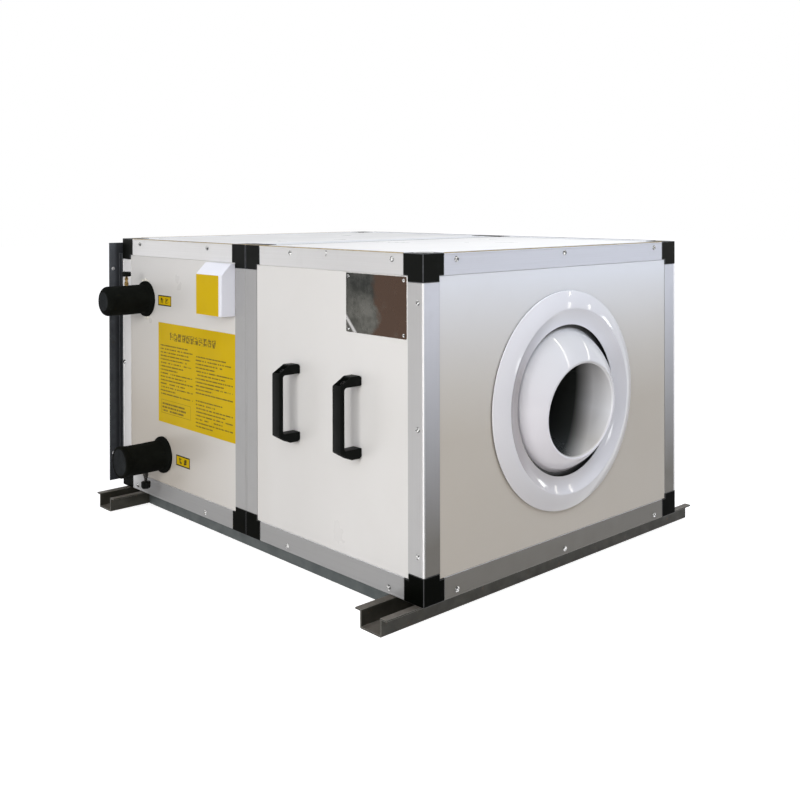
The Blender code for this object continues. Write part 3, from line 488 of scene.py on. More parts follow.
def turned_metal(name, colour, roughness):
    """Turned metal with fine rings and a little tarnish."""
    return patchy(name, (260, 3, 0.44, 0.60), colour, scaled(colour, 0.22), roughness,
                  (0.00003, 1.0, 2, (60.0, 60.0, 2500.0)),
                  gloss=(400, 2, roughness * 0.7, roughness * 1.4), metallic=1.0)


def fleece():
    """Filter fleece: fibres and a light load of dust."""
    made = Finish("filter_fleece", (0.50, 0.53, 0.56), 0.95)
    made.tones(made.clouds(20, 5, 0.4, 0.7, rough=0.65), (0.56, 0.59, 0.61), (0.40, 0.41, 0.41))
    made.set("Sheen Weight", 0.2)
    made.bump((0.0005, 500, 5, None, 0.7))
    return made.material


def polished_plate():
    """Blank polished plate: painted cloudy dark reflections, paler higher up and browner on the
    right, wipe marks, a painted glare and fine scratches.
    """
    made = Finish("polished_plate", (0.12, 0.10, 0.09), 0.25, 0.7)
    x, z = made.x, made.z
    clouds = made.clouds(26, 5, 0.40, 0.62, rough=0.7)
    # Painted reflections: dark clouds, paler higher up.
    height = made.levels(z, PLATE_CENTRE.z - 0.010, PLATE_CENTRE.z + 0.030)
    colour = made.mix(height, made.mix(clouds, (0.050, 0.050, 0.041), (0.125, 0.122, 0.108)),
                      made.mix(clouds, (0.017, 0.018, 0.015), (0.066, 0.066, 0.059)))
    # Painted reflection: browner on the right, with a ragged boundary.
    edge = made.math("ADD", x, made.levels(made.noise(30, 3), 0.3, 0.7, -0.012, 0.012))
    side = made.levels(edge, PLATE_CENTRE.x - 0.006, PLATE_CENTRE.x + 0.006)
    brown = made.mix(made.clouds(34, 4, 0.58, 0.78, 0.4, 0.6), (0.066, 0.036, 0.022),
                     (0.100, 0.082, 0.066))
    colour = made.mix(side, colour, brown)
    # Painted glare: a bright slanted line.
    across = made.product(made.math("SUBTRACT", x, PLATE_CENTRE.x - 0.075), 0.72)
    up = made.product(made.math("SUBTRACT", z, PLATE_CENTRE.z - 0.0245), 0.69)
    slanted = made.math("ABSOLUTE", made.math("ADD", across, up))
    made.tones(made.levels(slanted, 0.0045, 0.0015, 0.0, 0.8), colour, (0.62, 0.61, 0.60))
    made.set("Roughness", made.levels(made.noise(25, 5, rough=0.7), 0.35, 0.7, 0.14, 0.36))
    made.bump((0.0004, 18, 2), (0.00001, 1.0, 2, (900.0, 1.0, 40.0)))
    return made.material


def plain_metal(name, colour, roughness, darkest=0.55, patches=900):
    """Plated steel for screws and rivets, with painted darker reflections in patches."""
    return patchy(name, (patches, 2, 0.46, 0.56), colour, scaled(colour, darkest), roughness,
                  (0.00003, 1600, 2), metallic=1.0)


def printed_yellow(name, marks=None, ink=(0.10, 0.075, 0.02)):
    """Yellow film; marks(made) gives a factor that is 1 where dark ink lies."""
    made = Finish(name, (0.68, 0.47, 0.006), 0.42, specular=0.06)
    colour = made.mix(made.clouds(11, 4), (0.69, 0.475, 0.007), (0.635, 0.432, 0.005))
    if marks:
        colour = made.mix(marks(made), colour, ink)
    made.set("Base Color", colour)
    made.gloss(30, 3, 0.34, 0.5)
    made.bump((0.0003, 35, 3))
    return made.material


# Mesh helpers

def to_mesh(name, bm):
    """Turn a bmesh into a mesh."""
    mesh = bpy.data.meshes.new(name)
    bm.to_mesh(mesh)
    bm.free()
    return mesh


def placed(name, data):
    """New object in the scene."""
    made = bpy.data.objects.new(name, data)
    bpy.context.scene.collection.objects.link(made)
    return made


def add_mesh(name, bm, *materials, smooth=True, angle=38):
    """Turn a bmesh into an object with its materials."""
    bmesh.ops.recalc_face_normals(bm, faces=bm.faces)
    mesh = to_mesh(name, bm)
    if smooth:
        mesh.shade_smooth()
        mesh.set_sharp_from_angle(angle=math.radians(angle))
    for material in materials:
        mesh.materials.append(material)
    return placed(name, mesh)


def bake_modifiers(made):
    """Keep what an object's modifiers make as its own mesh."""
    bpy.context.view_layer.update()
    seen = made.evaluated_get(bpy.context.evaluated_depsgraph_get())
    mesh = bpy.data.meshes.new_from_object(seen)
    made.modifiers.clear()
    made.data = mesh


def carve(made, cutter):
    """Cut one object out of another, for good."""
    step = made.modifiers.new("cut", "BOOLEAN")
    step.operation, step.solver, step.object = "DIFFERENCE", "EXACT", cutter
    bake_modifiers(made)
    bpy.data.objects.remove(cutter, do_unlink=True)


def skin(bm, rings):
    """Faces between rings of vertices and over both ends."""
    for first, second in zip(rings, rings[1:]):
        for k in range(len(first)):
            n = (k + 1) % len(first)
            bm.faces.new((first[k], first[n], second[n], second[k]))
    bm.faces.new(rings[0])
    bm.faces.new(rings[-1])


def stamp(bm, head, pose):
    """Add a mesh to a bmesh, in a pose."""
    start = len(bm.verts)
    bm.from_mesh(head)
    bm.verts.ensure_lookup_table()
    bmesh.ops.transform(bm, matrix=pose, verts=bm.verts[start:])


def spread(start, end, steps):
    """Evenly spaced numbers from start to end."""
    return [start + (end - start) * i / steps for i in range(steps + 1)]


def polar(radius, angle):
    """Point at a distance from the origin in a direction."""
    return radius * math.cos(angle), radius * math.sin(angle)


def arc(centre, radius, start, end, steps):
    """Points on an arc, angles in degrees."""
    points = [polar(radius, math.radians(angle)) for angle in spread(start, end, steps)]
    return [(centre[0] + u, centre[1] + v) for u, v in points]


def turned(profile, axis=(1, 0, 0), segments=TURNED_SEGMENTS, closed=True):
    """Mesh turned about an axis through the origin; profile holds (radius, distance along)."""
    bm = bmesh.new()
    turn = Vector((1, 0, 0)).rotation_difference(Vector(axis)).to_matrix()

    def ring(radius, along):
        if radius == 0.0:
            return [bm.verts.new(turn @ Vector((along, 0.0, 0.0)))]
        return [bm.verts.new(turn @ Vector((along, *polar(radius, 2 * math.pi * k / segments))))
                for k in range(segments)]

    rings = [ring(r, x) for r, x in profile]
    pairs = list(zip(rings, rings[1:])) + ([(rings[-1], rings[0])] if closed else [])
    for first, second in pairs:
        for k in range(segments):
            n = (k + 1) % segments
            if len(first) == 1:
                bm.faces.new((first[0], second[n], second[k]))
            elif len(second) == 1:
                bm.faces.new((first[k], first[n], second[0]))
            else:
                bm.faces.new((first[k], first[n], second[n], second[k]))
    return bm


def rounded_outline(width, height, radius, steps=5):
    """Outline of a rectangle with round corners, about its middle."""
    points = []
    for corner, (sx, sz) in enumerate(((1, 1), (-1, 1), (-1, -1), (1, -1))):
        middle = (sx * (width / 2 - radius), sz * (height / 2 - radius))
        points += arc(middle, radius, 90 * corner, 90 * corner + 90, steps)
    return points


def facing(place, normal, spin=0.0):
    """Matrix that puts local +Z on a normal at a place."""
    turn = Vector((0, 0, 1)).rotation_difference(Vector(normal)).to_matrix().to_4x4()
    return Matrix.Translation(place) @ turn @ Matrix.Rotation(spin, 4, "Z")


def settle(made, body, slot, *nodes, place=None):
    """Let a piece ride on a body, in place of the nodes it stands for; slot is not used."""
    if place is not None:
        made.location = place
    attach(made, body)
    if nodes:
        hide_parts(*nodes)


# Ball jet nozzle, turned finely

def ring_height(radius):
    """How far the ring's front stands off the panel at a radius."""
    if radius <= CREST_RADIUS:
        share = (radius - MOUTH_RADIUS) / DISH_WIDTH
        return MOUTH_HEIGHT + (CREST_HEIGHT - MOUTH_HEIGHT) * share ** DISH_POWER
    share = (CREST_RADIUS + BAND_WIDTH - radius) / BAND_WIDTH
    rise = math.sin(share * BAND_TURN) / math.sin(BAND_TURN)
    return RIM_HEIGHT + (CREST_HEIGHT - RIM_HEIGHT) * rise


def face_ring(coat, rim_shadow_finish):
    """Ring round the ball: rim with a black foot against the panel as a painted shadow line,
    convex band, crest, dish, mouth and sleeve.
    """
    rim = CREST_RADIUS + BAND_WIDTH
    fall = math.atan((CREST_HEIGHT - RIM_HEIGHT) * BAND_TURN / math.sin(BAND_TURN) / BAND_WIDTH)
    edge = arc((rim - RIM * math.sin(fall), RIM_HEIGHT - RIM * math.cos(fall)), RIM, -70,
               90 - math.degrees(fall), 14)
    band = [(r, ring_height(r)) for r in spread(rim, CREST_RADIUS + CREST_ROUND, 18)]
    dish = [(r, ring_height(r)) for r in spread(CREST_RADIUS - CREST_ROUND, MOUTH_RADIUS, 18)]
    start, end = Vector(band[-1]), Vector(dish[0])
    peak = Vector((CREST_RADIUS, CREST_HEIGHT))
    crest = []
    for share in spread(0.0, 1.0, 6)[1:-1]:
        first, second = start.lerp(peak, share), peak.lerp(end, share)
        crest.append(tuple(first.lerp(second, share)))
    sheet, inner, outer = RING_SHEET, SLEEVE_RADIUS, SLEEVE_RADIUS + SLEEVE_WALL
    roll = arc((MOUTH_RADIUS + sheet / 2, MOUTH_HEIGHT - sheet / 2), sheet / 2, 120, 240, 5)
    rear = -BALL_DEPTH + BALL_RADIUS * math.cos(math.radians(SLEEVE_REAR_ANGLE))
    grip = math.sqrt((BALL_RADIUS + 0.001) ** 2 - (rear + BALL_DEPTH) ** 2)
    under = [(r, ring_height(r) - sheet) for r in spread(MOUTH_RADIUS + sheet / 2, inner, 6)]
    sleeve = [(inner, rear), (grip, rear), (grip - 0.001, rear - SLEEVE_WALL),
              (outer, rear - SLEEVE_WALL), (outer, ring_height(outer) - sheet)]
    beyond = [(r, max(ring_height(r) - sheet, RING_SEAT))
              for r in spread(outer, rim - sheet, 6)[1:]]
    profile = edge + band[1:] + crest + dish + roll + under + sleeve + beyond
    profile.append((edge[0][0], RING_SEAT))
    bm = turned(profile)
    # The rim's outer foot against the panel takes the black finish: a painted shadow line.
    for part in bm.faces:
        middle = part.calc_center_median()
        part.material_index = int(middle.x < 0.0010 and math.hypot(middle.y, middle.z) > rim - RIM)
    made = add_mesh("nozzle_face_ring", bm, coat, rim_shadow_finish, angle=60)
    settle(made, "casing", "nozzle_white", "nozzle_ring", place=(NOZZLE_X, 0.0, BALL_CENTRE.z))


def ball_seal(finish):
    """Black lip seal that closes on the ball."""
    front = BALL_DEPTH - SEAL_FRONT
    back = front - SEAL_THICKNESS
    radius = BALL_RADIUS + SEAL_CLEARANCE
    outer = SLEEVE_RADIUS - SEAL_CLEARANCE
    start, end = (math.degrees(math.acos(x / radius)) for x in (front, back))
    face = [(v, u) for u, v in arc((0, 0), radius, start, end, 8)]
    groove = [(r, front - 0.0012 * math.sin(math.pi * (outer - r) / (outer - face[0][0])))
              for r in spread(outer, face[0][0], 10)]
    profile = groove + face[1:] + [(outer, back)]
    made = add_mesh("nozzle_lip_seal", turned(profile), finish)
    settle(made, "nozzle_swivel_seal", "seal_rubber", "nozzle_seal", place=BALL_CENTRE)


def aimed_ball(coat):
    """Hollow ball with a rolled lip and a throat, at the aim it has in the photograph."""
    sheet, lip = BALL_SHEET, BORE_LIP
    bore_angle = math.degrees(math.asin((BORE_RADIUS + lip) / (BALL_RADIUS - lip)))
    shell = [(v, u) for u, v in arc((0, 0), BALL_RADIUS, BALL_REAR_ANGLE, bore_angle, 56)]
    front = (BALL_RADIUS - lip) * math.cos(math.radians(bore_angle)) + lip
    rolled = arc((BORE_RADIUS + lip, front - lip), lip, 90 - bore_angle, 180, 16)[1:]
    end = THROAT_SETBACK - front
    throat = []
    for share in spread(0.0, 1.0, 24)[1:]:
        narrow = BORE_RADIUS - (BORE_RADIUS - THROAT_REAR_RADIUS) * math.sin(share * math.pi / 2)
        throat.append((narrow, (front - lip) + (end - front + lip) * share))
    inside = [(r + sheet, x) for r, x in reversed(throat[::4])]
    inside.append((BORE_RADIUS + sheet, front - 2 * lip))
    cap = math.degrees(math.asin((BORE_RADIUS + lip + sheet) / (BALL_RADIUS - sheet)))
    inner_surface = [(v, u) for u, v in arc((0, 0), BALL_RADIUS - sheet, cap, BALL_REAR_ANGLE, 24)]
    made = add_mesh("nozzle_aimed_ball", turned(shell + rolled + throat + inside + inner_surface), coat,
                    angle=60)
    tilt = Matrix.Rotation(math.radians(BALL_TILT), 4, "Y")
    swivel = Matrix.Rotation(math.radians(-BALL_SWIVEL), 4, "X")
    made.matrix_world = Matrix.Translation(BALL_CENTRE) @ swivel @ tilt @ swivel.inverted()
    settle(made, "nozzle_ball_body", "nozzle_white", "nozzle_ball")


# Pipes, valves and knobs

def sleeve_of_foam(name, node, lip, skin, cut):
    """Foam sleeve on its rosette, its cut end a little paler, with a soft unevenness."""
    low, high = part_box(node)
    origin = Vector(((low.x + high.x) / 2, high.y - SPIGOT_LENGTH, (low.z + high.z) / 2))
    end, rosette, thick = PIPE_LENGTH, ROSETTE_RADIUS, ROSETTE_THICKNESS
    profile = [(0.0, -SPIGOT_LENGTH), (SPIGOT_RADIUS, -SPIGOT_LENGTH), (SPIGOT_RADIUS, 0.0),
               (rosette, 0.0),
               *arc((rosette - thick / 2, thick / 2), thick / 2, 0, 90, 8),
               (PIPE_RADIUS + 0.0015, thick), (PIPE_RADIUS, thick + 0.0015)]
    if lip:
        start = end - PIPE_END_ROUND
        rounded = arc((PIPE_RADIUS, end - 2 * PIPE_LIP), PIPE_LIP, 0, 90, 6)
        profile += [(PIPE_RADIUS, y) for y in spread(thick + 0.004, start - 3 * PIPE_LIP, 12)]
        profile += [(PIPE_RADIUS + PIPE_LIP * 0.6, start - PIPE_LIP),
                    (PIPE_RADIUS + PIPE_LIP, start)]
        profile += rounded + [(PIPE_RADIUS - PIPE_LIP, end - PIPE_LIP)]
        face = PIPE_RADIUS - 2 * PIPE_LIP
    else:
        profile += [(PIPE_RADIUS, y) for y in spread(thick + 0.004, end - PIPE_END_ROUND, 12)]
        middle = (PIPE_RADIUS - PIPE_END_ROUND, end - PIPE_END_ROUND - PIPE_LIP)
        profile += arc(middle, PIPE_END_ROUND, 0, 90, 12)
        face = PIPE_RADIUS - PIPE_END_ROUND
    profile += [(face * share, end - PIPE_LIP) for share in (0.97, 0.75, 0.5, 0.25)]
    profile.append((0.0, end - PIPE_LIP))
    bm = turned(profile, (0, -1, 0), 96, closed=False)
    for vert in bm.verts:
        if vert.co.y < -thick - 0.003:
            wave = math.sin(31 * vert.co.x / 0.03 + 2.0) * math.sin(vert.co.y / 0.009)
            vert.co.x += 0.00025 * wave
            vert.co.z += 0.00025 * math.sin(vert.co.z / 0.008 + vert.co.y / 0.011)
    for part in bm.faces:
        middle = part.calc_center_median()
        part.material_index = int(middle.y < -end + 2 * PIPE_LIP
                                  and math.hypot(middle.x, middle.z) < face * 0.99)
    made = add_mesh(name, bm, skin, cut, angle=50)
    settle(made, "casing", "foam_sleeve", node, place=origin)


def valve(name, node, way, profile, nut, finish):
    """Turned valve body on a hexagon nut; way is 1 where it stands up and -1 where it hangs."""
    low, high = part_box(node)
    middle = (low + high) / 2
    start, height = (low.z if way > 0 else high.z), high.z - low.z
    bm = turned([(r, along * height) for r, along in profile], (0, 0, way), 48, closed=False)
    across, foot, top = nut
    levels = ((across * 0.90, foot), (across, foot + 0.0006), (across, top - 0.0006),
              (across * 0.90, top))
    skin(bm, [[bm.verts.new((*polar(radius, math.pi * k / 3 + 0.3), way * along))
               for k in range(6)] for radius, along in levels])
    made = add_mesh(name, bm, finish, angle=30)
    settle(made, "casing", "brass" if way > 0 else "valve_dark", node,
           place=(middle.x, middle.y, start))


def fluted_knob(name, node, way, lobes, depth, finish, body):
    """Moulded knob with rounded flutes, a dished face and rounded edges."""
    low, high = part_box(node)
    middle = (low + high) / 2
    radius, height = (high.x - low.x) / 2, high.z - low.z
    segments = 96
    levels = [(0.30, 0.0, 0.0), (0.82, 0.0, 0.4), (0.95, 0.05, 1.0), (1.0, 0.14, 1.0),
              (1.0, 0.74, 1.0), (0.97, 0.88, 1.0), (0.88, 0.97, 0.9), (0.76, 1.0, 0.6),
              (0.60, 0.97, 0.2), (0.34, 0.94, 0.0)]
    bm = bmesh.new()
    rings = []
    for size, along, wavy in levels:
        ring = []
        for k in range(segments):
            angle = 2 * math.pi * k / segments
            wave = 1.0 - depth * wavy * (0.5 - 0.5 * math.cos(lobes * angle)) ** 2
            ring.append(bm.verts.new((*polar(radius * size * wave, angle), way * height * along)))
        rings.append(ring)
    skin(bm, rings)
    made = add_mesh(name, bm, finish, angle=45)
    settle(made, body, "knob_black", node,
           place=(middle.x, middle.y, low.z if way > 0 else high.z))


def pipes():
    """The two sleeved stubs with their valves and knobs."""
    skin = foam("black_foam", (0.0045, 0.005, 0.0042), (0.008, 0.009, 0.0075), 0.00012)
    cut = foam("cut_foam", (0.018, 0.020, 0.021), (0.032, 0.035, 0.037), 0.0003)
    sleeve_of_foam("upper_sleeve", "upper_pipe", False, skin, cut)
    sleeve_of_foam("lower_sleeve", "lower_pipe", True, skin, cut)
    brass = turned_metal("valve_brass", (0.42, 0.28, 0.11), 0.28)
    dark = turned_metal("valve_dark", (0.055, 0.052, 0.048), 0.42)
    vent = [(0.0, 0.0), (0.0037, 0.0), (0.0037, 0.44), (0.0029, 0.48), (0.0029, 0.56),
            (0.0036, 0.59), (0.0036, 0.68), (0.0030, 0.72), (0.0024, 0.78), (0.0024, 0.92),
            (0.0, 0.92)]
    valve("vent_body", "vent_valve", 1, vent, (0.0046, 0.0065, 0.0120), brass)
    drain = [(0.0, 0.0), (0.0056, 0.0), (0.0056, 0.40), (0.0044, 0.46), (0.0044, 0.54),
             (0.0034, 0.60), (0.0032, 0.72), (0.0024, 0.76), (0.0024, 0.92), (0.0, 0.92)]
    valve("drain_body", "drain_valve", -1, drain, (0.0058, 0.0065, 0.0125), dark)
    black = moulded_black("knob_black", 900.0)
    fluted_knob("vent_handwheel", "vent_knob", 1, 16, 0.07, black, "vent_knob_body")
    fluted_knob("drain_handwheel", "drain_knob", -1, 5, 0.26, black, "drain_knob_body")


def sealant():
    """Bits of dried white sealant round the upper rosette."""
    low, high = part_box("upper_pipe")
    centre = Vector(((low.x + high.x) / 2, PANEL_Y, (low.z + high.z) / 2))
    bm = bmesh.new()
    bits = ((112, 0.0048), (98, 0.0042), (86, 0.0030), (74, 0.0024), (-84, 0.0046),
            (-96, 0.0030), (-70, 0.0024))
    for angle, size in bits:
        turn = math.radians(angle)
        place = centre + (ROSETTE_RADIUS + 0.0018) * Vector((math.cos(turn), 0.0, math.sin(turn)))
        start = len(bm.verts)
        bmesh.ops.create_icosphere(bm, subdivisions=3, radius=size)
        bm.verts.ensure_lookup_table()
        for vert in bm.verts[start:]:
            x, y, z = vert.co
            bulge = 1.0 + 0.22 * math.sin(x / size * 3.1 + angle) * math.cos(z / size * 2.7)
            vert.co = Vector((x * bulge, min(y * 0.5, 0.0), z * bulge)) + place
    glue = patchy("white_glue", (300, 3), (0.84, 0.82, 0.76), (0.70, 0.66, 0.56), 0.5,
                  (0.0002, 700, 3))
    settle(add_mesh("rosette_sealant", bm, glue), "casing", "box_white")


# Handles

def bridge_handle(name, node, black, screw):
    """Bridge handle with sloped shoulders, chamfered feet and a pocket for each screw."""
    low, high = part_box(node)
    middle = (low + high) / 2
    half, reach, width = (high.z - low.z) / 2, high.y - low.y, high.x - low.x
    grip, foot, slope_y, slope_z, chamfer = 0.009, 0.017, 0.024, 0.014, 0.0035
    under = reach - grip
    upper = [(0.0, half - chamfer), (chamfer, half), (reach - slope_y, half),
             (reach, half - slope_z)]
    inner = [(under, half - foot - 0.004), (under - 0.0012, half - foot - 0.0012),
             (under - 0.004, half - foot), (0.0, half - foot)]
    outline = upper + [(u, -v) for u, v in reversed(upper)]
    outline += [(u, -v) for u, v in reversed(inner)] + inner

    def bar(points, half_width, label):
        bm = bmesh.new()
        sides = [[bm.verts.new((t, high.y - u, middle.z + v)) for u, v in points]
                 for t in (middle.x - half_width, middle.x + half_width)]
        skin(bm, sides)
        return add_mesh(label, bm, black, smooth=False)

    made = bar(outline, width / 2, name)
    slope = math.hypot(slope_y, slope_z)
    along = Vector((-slope_y, slope_z)) / slope
    inward = Vector((-slope_z, -slope_y)) / slope
    rim, depth = 0.003, 0.0062
    start = Vector((reach, half - slope_z)) + along * rim
    end = start + along * (slope - 2 * rim)
    for sign in (1, -1):
        shape = [start - inward * depth, end - inward * depth, end + inward * depth,
                 start + inward * depth]
        carve(made, bar([(u, sign * v) for u, v in shape], width / 2 - rim, "pocket"))
    edge = made.modifiers.new("edges", "BEVEL")
    edge.width, edge.segments, edge.limit_method = 0.0016, 3, "ANGLE"
    edge.angle_limit = math.radians(25)
    bake_modifiers(made)
    made.data.shade_smooth()
    made.data.set_sharp_from_angle(angle=math.radians(35))
    settle(made, "casing", "handle_black", node)

    radius, rise = HANDLE_SCREW_RADIUS, 0.0034
    profile = [(0.0, rise - 0.0022), (radius * 0.45, rise - 0.0022), (radius * 0.5, rise),
               (radius * 0.9, rise), (radius, rise - 0.0005), (radius, 0.0), (0.0, 0.0)]
    head = to_mesh("screw", turned(profile, (0, 0, 1), 30, closed=False))
    seat = (start + end) / 2 + inward * (depth - 0.0002)
    bm = bmesh.new()
    for sign in (1, -1):
        place = (middle.x, high.y - seat[0], middle.z + sign * seat[1])
        stamp(bm, head, facing(place, (0.0, inward[0], -sign * inward[1])))
    settle(add_mesh(name + "_screws", bm, screw), "casing", "handle_black")


# Screws and rivets

def screw_head():
    """Pan head with a washer rim and a cross recess, as a mesh about the origin."""
    rim = SCREW_RADIUS
    profile = [(0.0, 0.0), (rim, 0.0), (rim, 0.0006), (rim * 0.97, 0.0008), (rim * 0.80, 0.0010),
               (rim * 0.76, 0.0018), (rim * 0.62, SCREW_HEIGHT * 0.88), (rim * 0.40, SCREW_HEIGHT),
               (0.0, SCREW_HEIGHT)]
    body = add_mesh("screw_head", turned(profile, (0, 0, 1), 28, closed=False), smooth=False)
    arm_length, arm_width, depth = rim * 1.06, rim * 0.24, 0.0015
    for size in ((arm_length, arm_width), (arm_width, arm_length)):
        cut = bmesh.new()
        bmesh.ops.create_cube(cut, size=1.0)
        bmesh.ops.scale(cut, vec=(size[0], size[1], depth), verts=cut.verts)
        bmesh.ops.translate(cut, vec=(0, 0, SCREW_HEIGHT), verts=cut.verts)
        carve(body, add_mesh("recess", cut, smooth=False))
    made = body.data
    bpy.data.objects.remove(body, do_unlink=True)
    return made


def rivet_head(size=1.0):
    """Low domed rivet head with a dimple, as a mesh about the origin."""
    rim = RIVET_RADIUS * size
    profile = [(0.0, 0.0), (rim, 0.0), (rim * 0.96, 0.0005), (rim * 0.78, RIVET_HEIGHT * 0.85),
               (rim * 0.50, RIVET_HEIGHT), (rim * 0.34, RIVET_HEIGHT), (rim * 0.26, 0.0004),
               (0.0, 0.0004)]
    return to_mesh("rivet_head", turned(profile, (0, 0, 1), 24, closed=False))


def scatter(name, head, places, normal, material, slot):
    """Copies of a head at places on one face, each with its own spin, as one object."""
    bm = bmesh.new()
    for place in places:
        stamp(bm, head, facing(place, normal, RANDOM.uniform(0, math.pi)))
    settle(add_mesh(name, bm, material), "casing", slot)


def fasteners(zinc, pale, dark):
    """Screws on the frame bars, and the small fixings on the inlet flange and joint bar."""
    head = screw_head()
    rows = (CASING_BOTTOM + 0.539, CASING_BOTTOM + 0.011)
    along = ((-0.900, -0.626, -0.347, -0.073), (-0.911, -0.634, -0.358, -0.082))
    post_heights = (0.077, 0.275, 0.473)
    near_post, far_post = -0.013, -0.972
    for word, y, side in (("service", SERVICE_Y + BAR_FLAT, -1), ("back", BACK_Y - BAR_FLAT, 1)):
        places = [(NOZZLE_X + x, y, z) for z, line in zip(rows, along) for x in line]
        places += [(NOZZLE_X + x, y, CASING_BOTTOM + z) for x in (near_post, far_post)
                   for z in post_heights]
        scatter("screws_" + word, head, places, (0, side, 0), zinc, "aluminium")
    places = [(NOZZLE_X - BAR_FLAT, SERVICE_Y + y, z) for y in (0.074, 0.347, 0.626) for z in rows]
    scatter("screws_nozzle_end", head, places, (1, 0, 0), zinc, "aluminium")

    pair = [(NOZZLE_X - 0.243, SERVICE_Y + BAR_FLAT, CASING_TOP - z) for z in (0.0050, 0.0115)]
    scatter("bar_rivets", rivet_head(0.75), pair, (0, -1, 0), zinc, "aluminium")

    sheet_face = FLANGE_LOW.x + 0.003
    rivet = rivet_head(1.35)
    for word, y in (("service", FLANGE_LOW.y + 0.009), ("back", FLANGE_HIGH.y - 0.009)):
        places = [(sheet_face, y, CASING_BOTTOM + z) for z in (0.0707, 0.4824)]
        scatter("flange_rivets_" + word, rivet, places, (1, 0, 0), pale, "flange_steel")
        # A black disc stands for the open middle hole: painted shade of its dark inside.
        bm = turned([(0.0, 0.0), (0.0034, 0.0), (0.0034, 0.0002), (0.0, 0.0002)], (1, 0, 0), 32,
                    closed=False)
        hole = add_mesh("flange_hole_" + word, bm, dark)
        settle(hole, "casing", "flange_steel", place=(sheet_face, y, CASING_BOTTOM + 0.3177))
    bm = turned([(0.0, 0.0), (0.0158, 0.0), (0.0162, 0.0004), (0.0158, 0.0009), (0.0115, 0.0011),
                 (0.0110, 0.0008), (0.0, 0.0008)], (0, 0, 1), 72, closed=False)
    cap = add_mesh("corner_disc", bm, plain_metal("disc_metal", (0.40, 0.41, 0.42), 0.3, 0.5, 60))
    middle = BAR_WIDTH / 2
    settle(cap, "casing", "aluminium", place=(NOZZLE_X - middle, SERVICE_Y + middle, CASING_TOP))


def top_edge_reflection_and_shade():
    """Thin tan strips round the top edges of the frame as a painted reflection, dark along the
    back as painted shade.
    """
    patches = (80, 4, 0.4, 0.7, 1.0, 0.6)
    # Painted reflection: a tan line along the rounded top edges.
    tan = patchy("top_edge_reflection_and_shade", patches, (0.46, 0.37, 0.22), (0.30, 0.24, 0.15), 0.6,
                 (0.00005, 400, 2))
    shaded = patchy("painted_back_edge_shade", patches, (0.030, 0.030, 0.030), (0.070, 0.068, 0.064), 0.6)
    low, high, near, far = CASING_TOP - 0.0012, CASING_TOP + 0.0006, 0.0003, 0.0016
    bm = bmesh.new()

    def strip(first, last):
        first, last = Vector(first), Vector(last)
        verts = bmesh.ops.create_cube(bm, size=1.0)["verts"]
        bmesh.ops.scale(bm, vec=last - first, verts=verts)
        bmesh.ops.translate(bm, vec=(first + last) / 2, verts=verts)

    start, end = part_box("coil_bar_service_top")[0].x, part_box("fan_bar_service_top")[1].x
    strip((start, SERVICE_Y + near, low), (end, SERVICE_Y + far, high))
    strip((start, BACK_Y - far, low), (end, BACK_Y - near, high))
    for ring, x, side in (("nozzle", NOZZLE_X, -1), ("inlet", INLET_X, 1)):
        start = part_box(ring + "_corner_service_top")[1].y
        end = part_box(ring + "_corner_back_top")[0].y
        inner, outer = sorted((x + side * near, x + side * far))
        strip((inner, start, low), (outer, end, high))
    # The strips along the back are dark: painted shade.
    for face in bm.faces:
        face.material_index = int(face.calc_center_median().y > BACK_Y - 0.003)
    settle(add_mesh("top_edge_reflection_and_shade", bm, tan, shaded, smooth=False), "casing", "aluminium")


# Plates, labels and the instruction sheet

def film(name, centre, size, radius, material, slot, lift=FILM):
    """Thin sheet on the service side, with round corners."""
    bm = bmesh.new()
    verts = [bm.verts.new((x, 0.0, z)) for x, z in rounded_outline(*size, radius)]
    grown = bmesh.ops.extrude_face_region(bm, geom=[bm.faces.new(verts)])
    moved = [item for item in grown["geom"] if isinstance(item, bmesh.types.BMVert)]
    bmesh.ops.translate(bm, vec=(0.0, -lift, 0.0), verts=moved)
    bmesh.ops.translate(bm, vec=centre, verts=bm.verts)
    settle(add_mesh(name, bm, material), "casing", slot)


def blots(made, across, up, seed):
    """Noise over two values, without finer detail."""
    place = made.node("CombineXYZ", {0: across, 1: up, 2: seed})
    return made.node("TexNoise", {"Vector": place, "Scale": 1.0, "Detail": 0.0})


def ink_rows(made, left, right, top, bottom, pitch, fill, seed):
    """Factor that is 1 on rows of short dashes, in the area given in metres."""
    x, z = made.x, made.z
    row = made.math("DIVIDE", made.math("SUBTRACT", top, z), pitch)
    row_index = made.math("FLOOR", row)
    on_row = made.between(made.math("FRACT", row), 0.30, 0.30 + fill)
    dashes = blots(made, made.product(x, 330.0), made.product(row_index, 7.31), seed)
    length = made.node("TexWhiteNoise", {"W": made.math("ADD", row_index, seed)},
                       noise_dimensions="1D")
    reach = made.levels(length, 0.0, RAGGED, left + (right - left) * 0.45, right)
    inside = made.product(made.between(x, left, reach), made.between(z, bottom, top))
    return made.product(on_row, made.above(dashes, 0.40), inside)


def glyph_row(made, left, right, bottom, top, count, seed):
    """Factor for a row of square blocks of random strokes, in place of large lettering."""
    x, z = made.x, made.z
    cell = made.math("DIVIDE", made.math("SUBTRACT", x, left), (right - left) / count)
    block = made.math("LESS_THAN", made.math("FRACT", cell), 0.84)
    size = (top - bottom) / 3.6
    strokes = []
    for wide, high in ((size * 2.2, size * 0.62), (size * 0.62, size * 2.2)):
        drawn = blots(made, made.math("DIVIDE", x, wide), made.math("DIVIDE", z, high), seed)
        strokes.append(made.above(drawn, 0.55))
        seed += 2.7
    inside = made.product(made.between(x, left, right), made.between(z, bottom, top))
    return made.product(made.math("MAXIMUM", *strokes), block, inside)


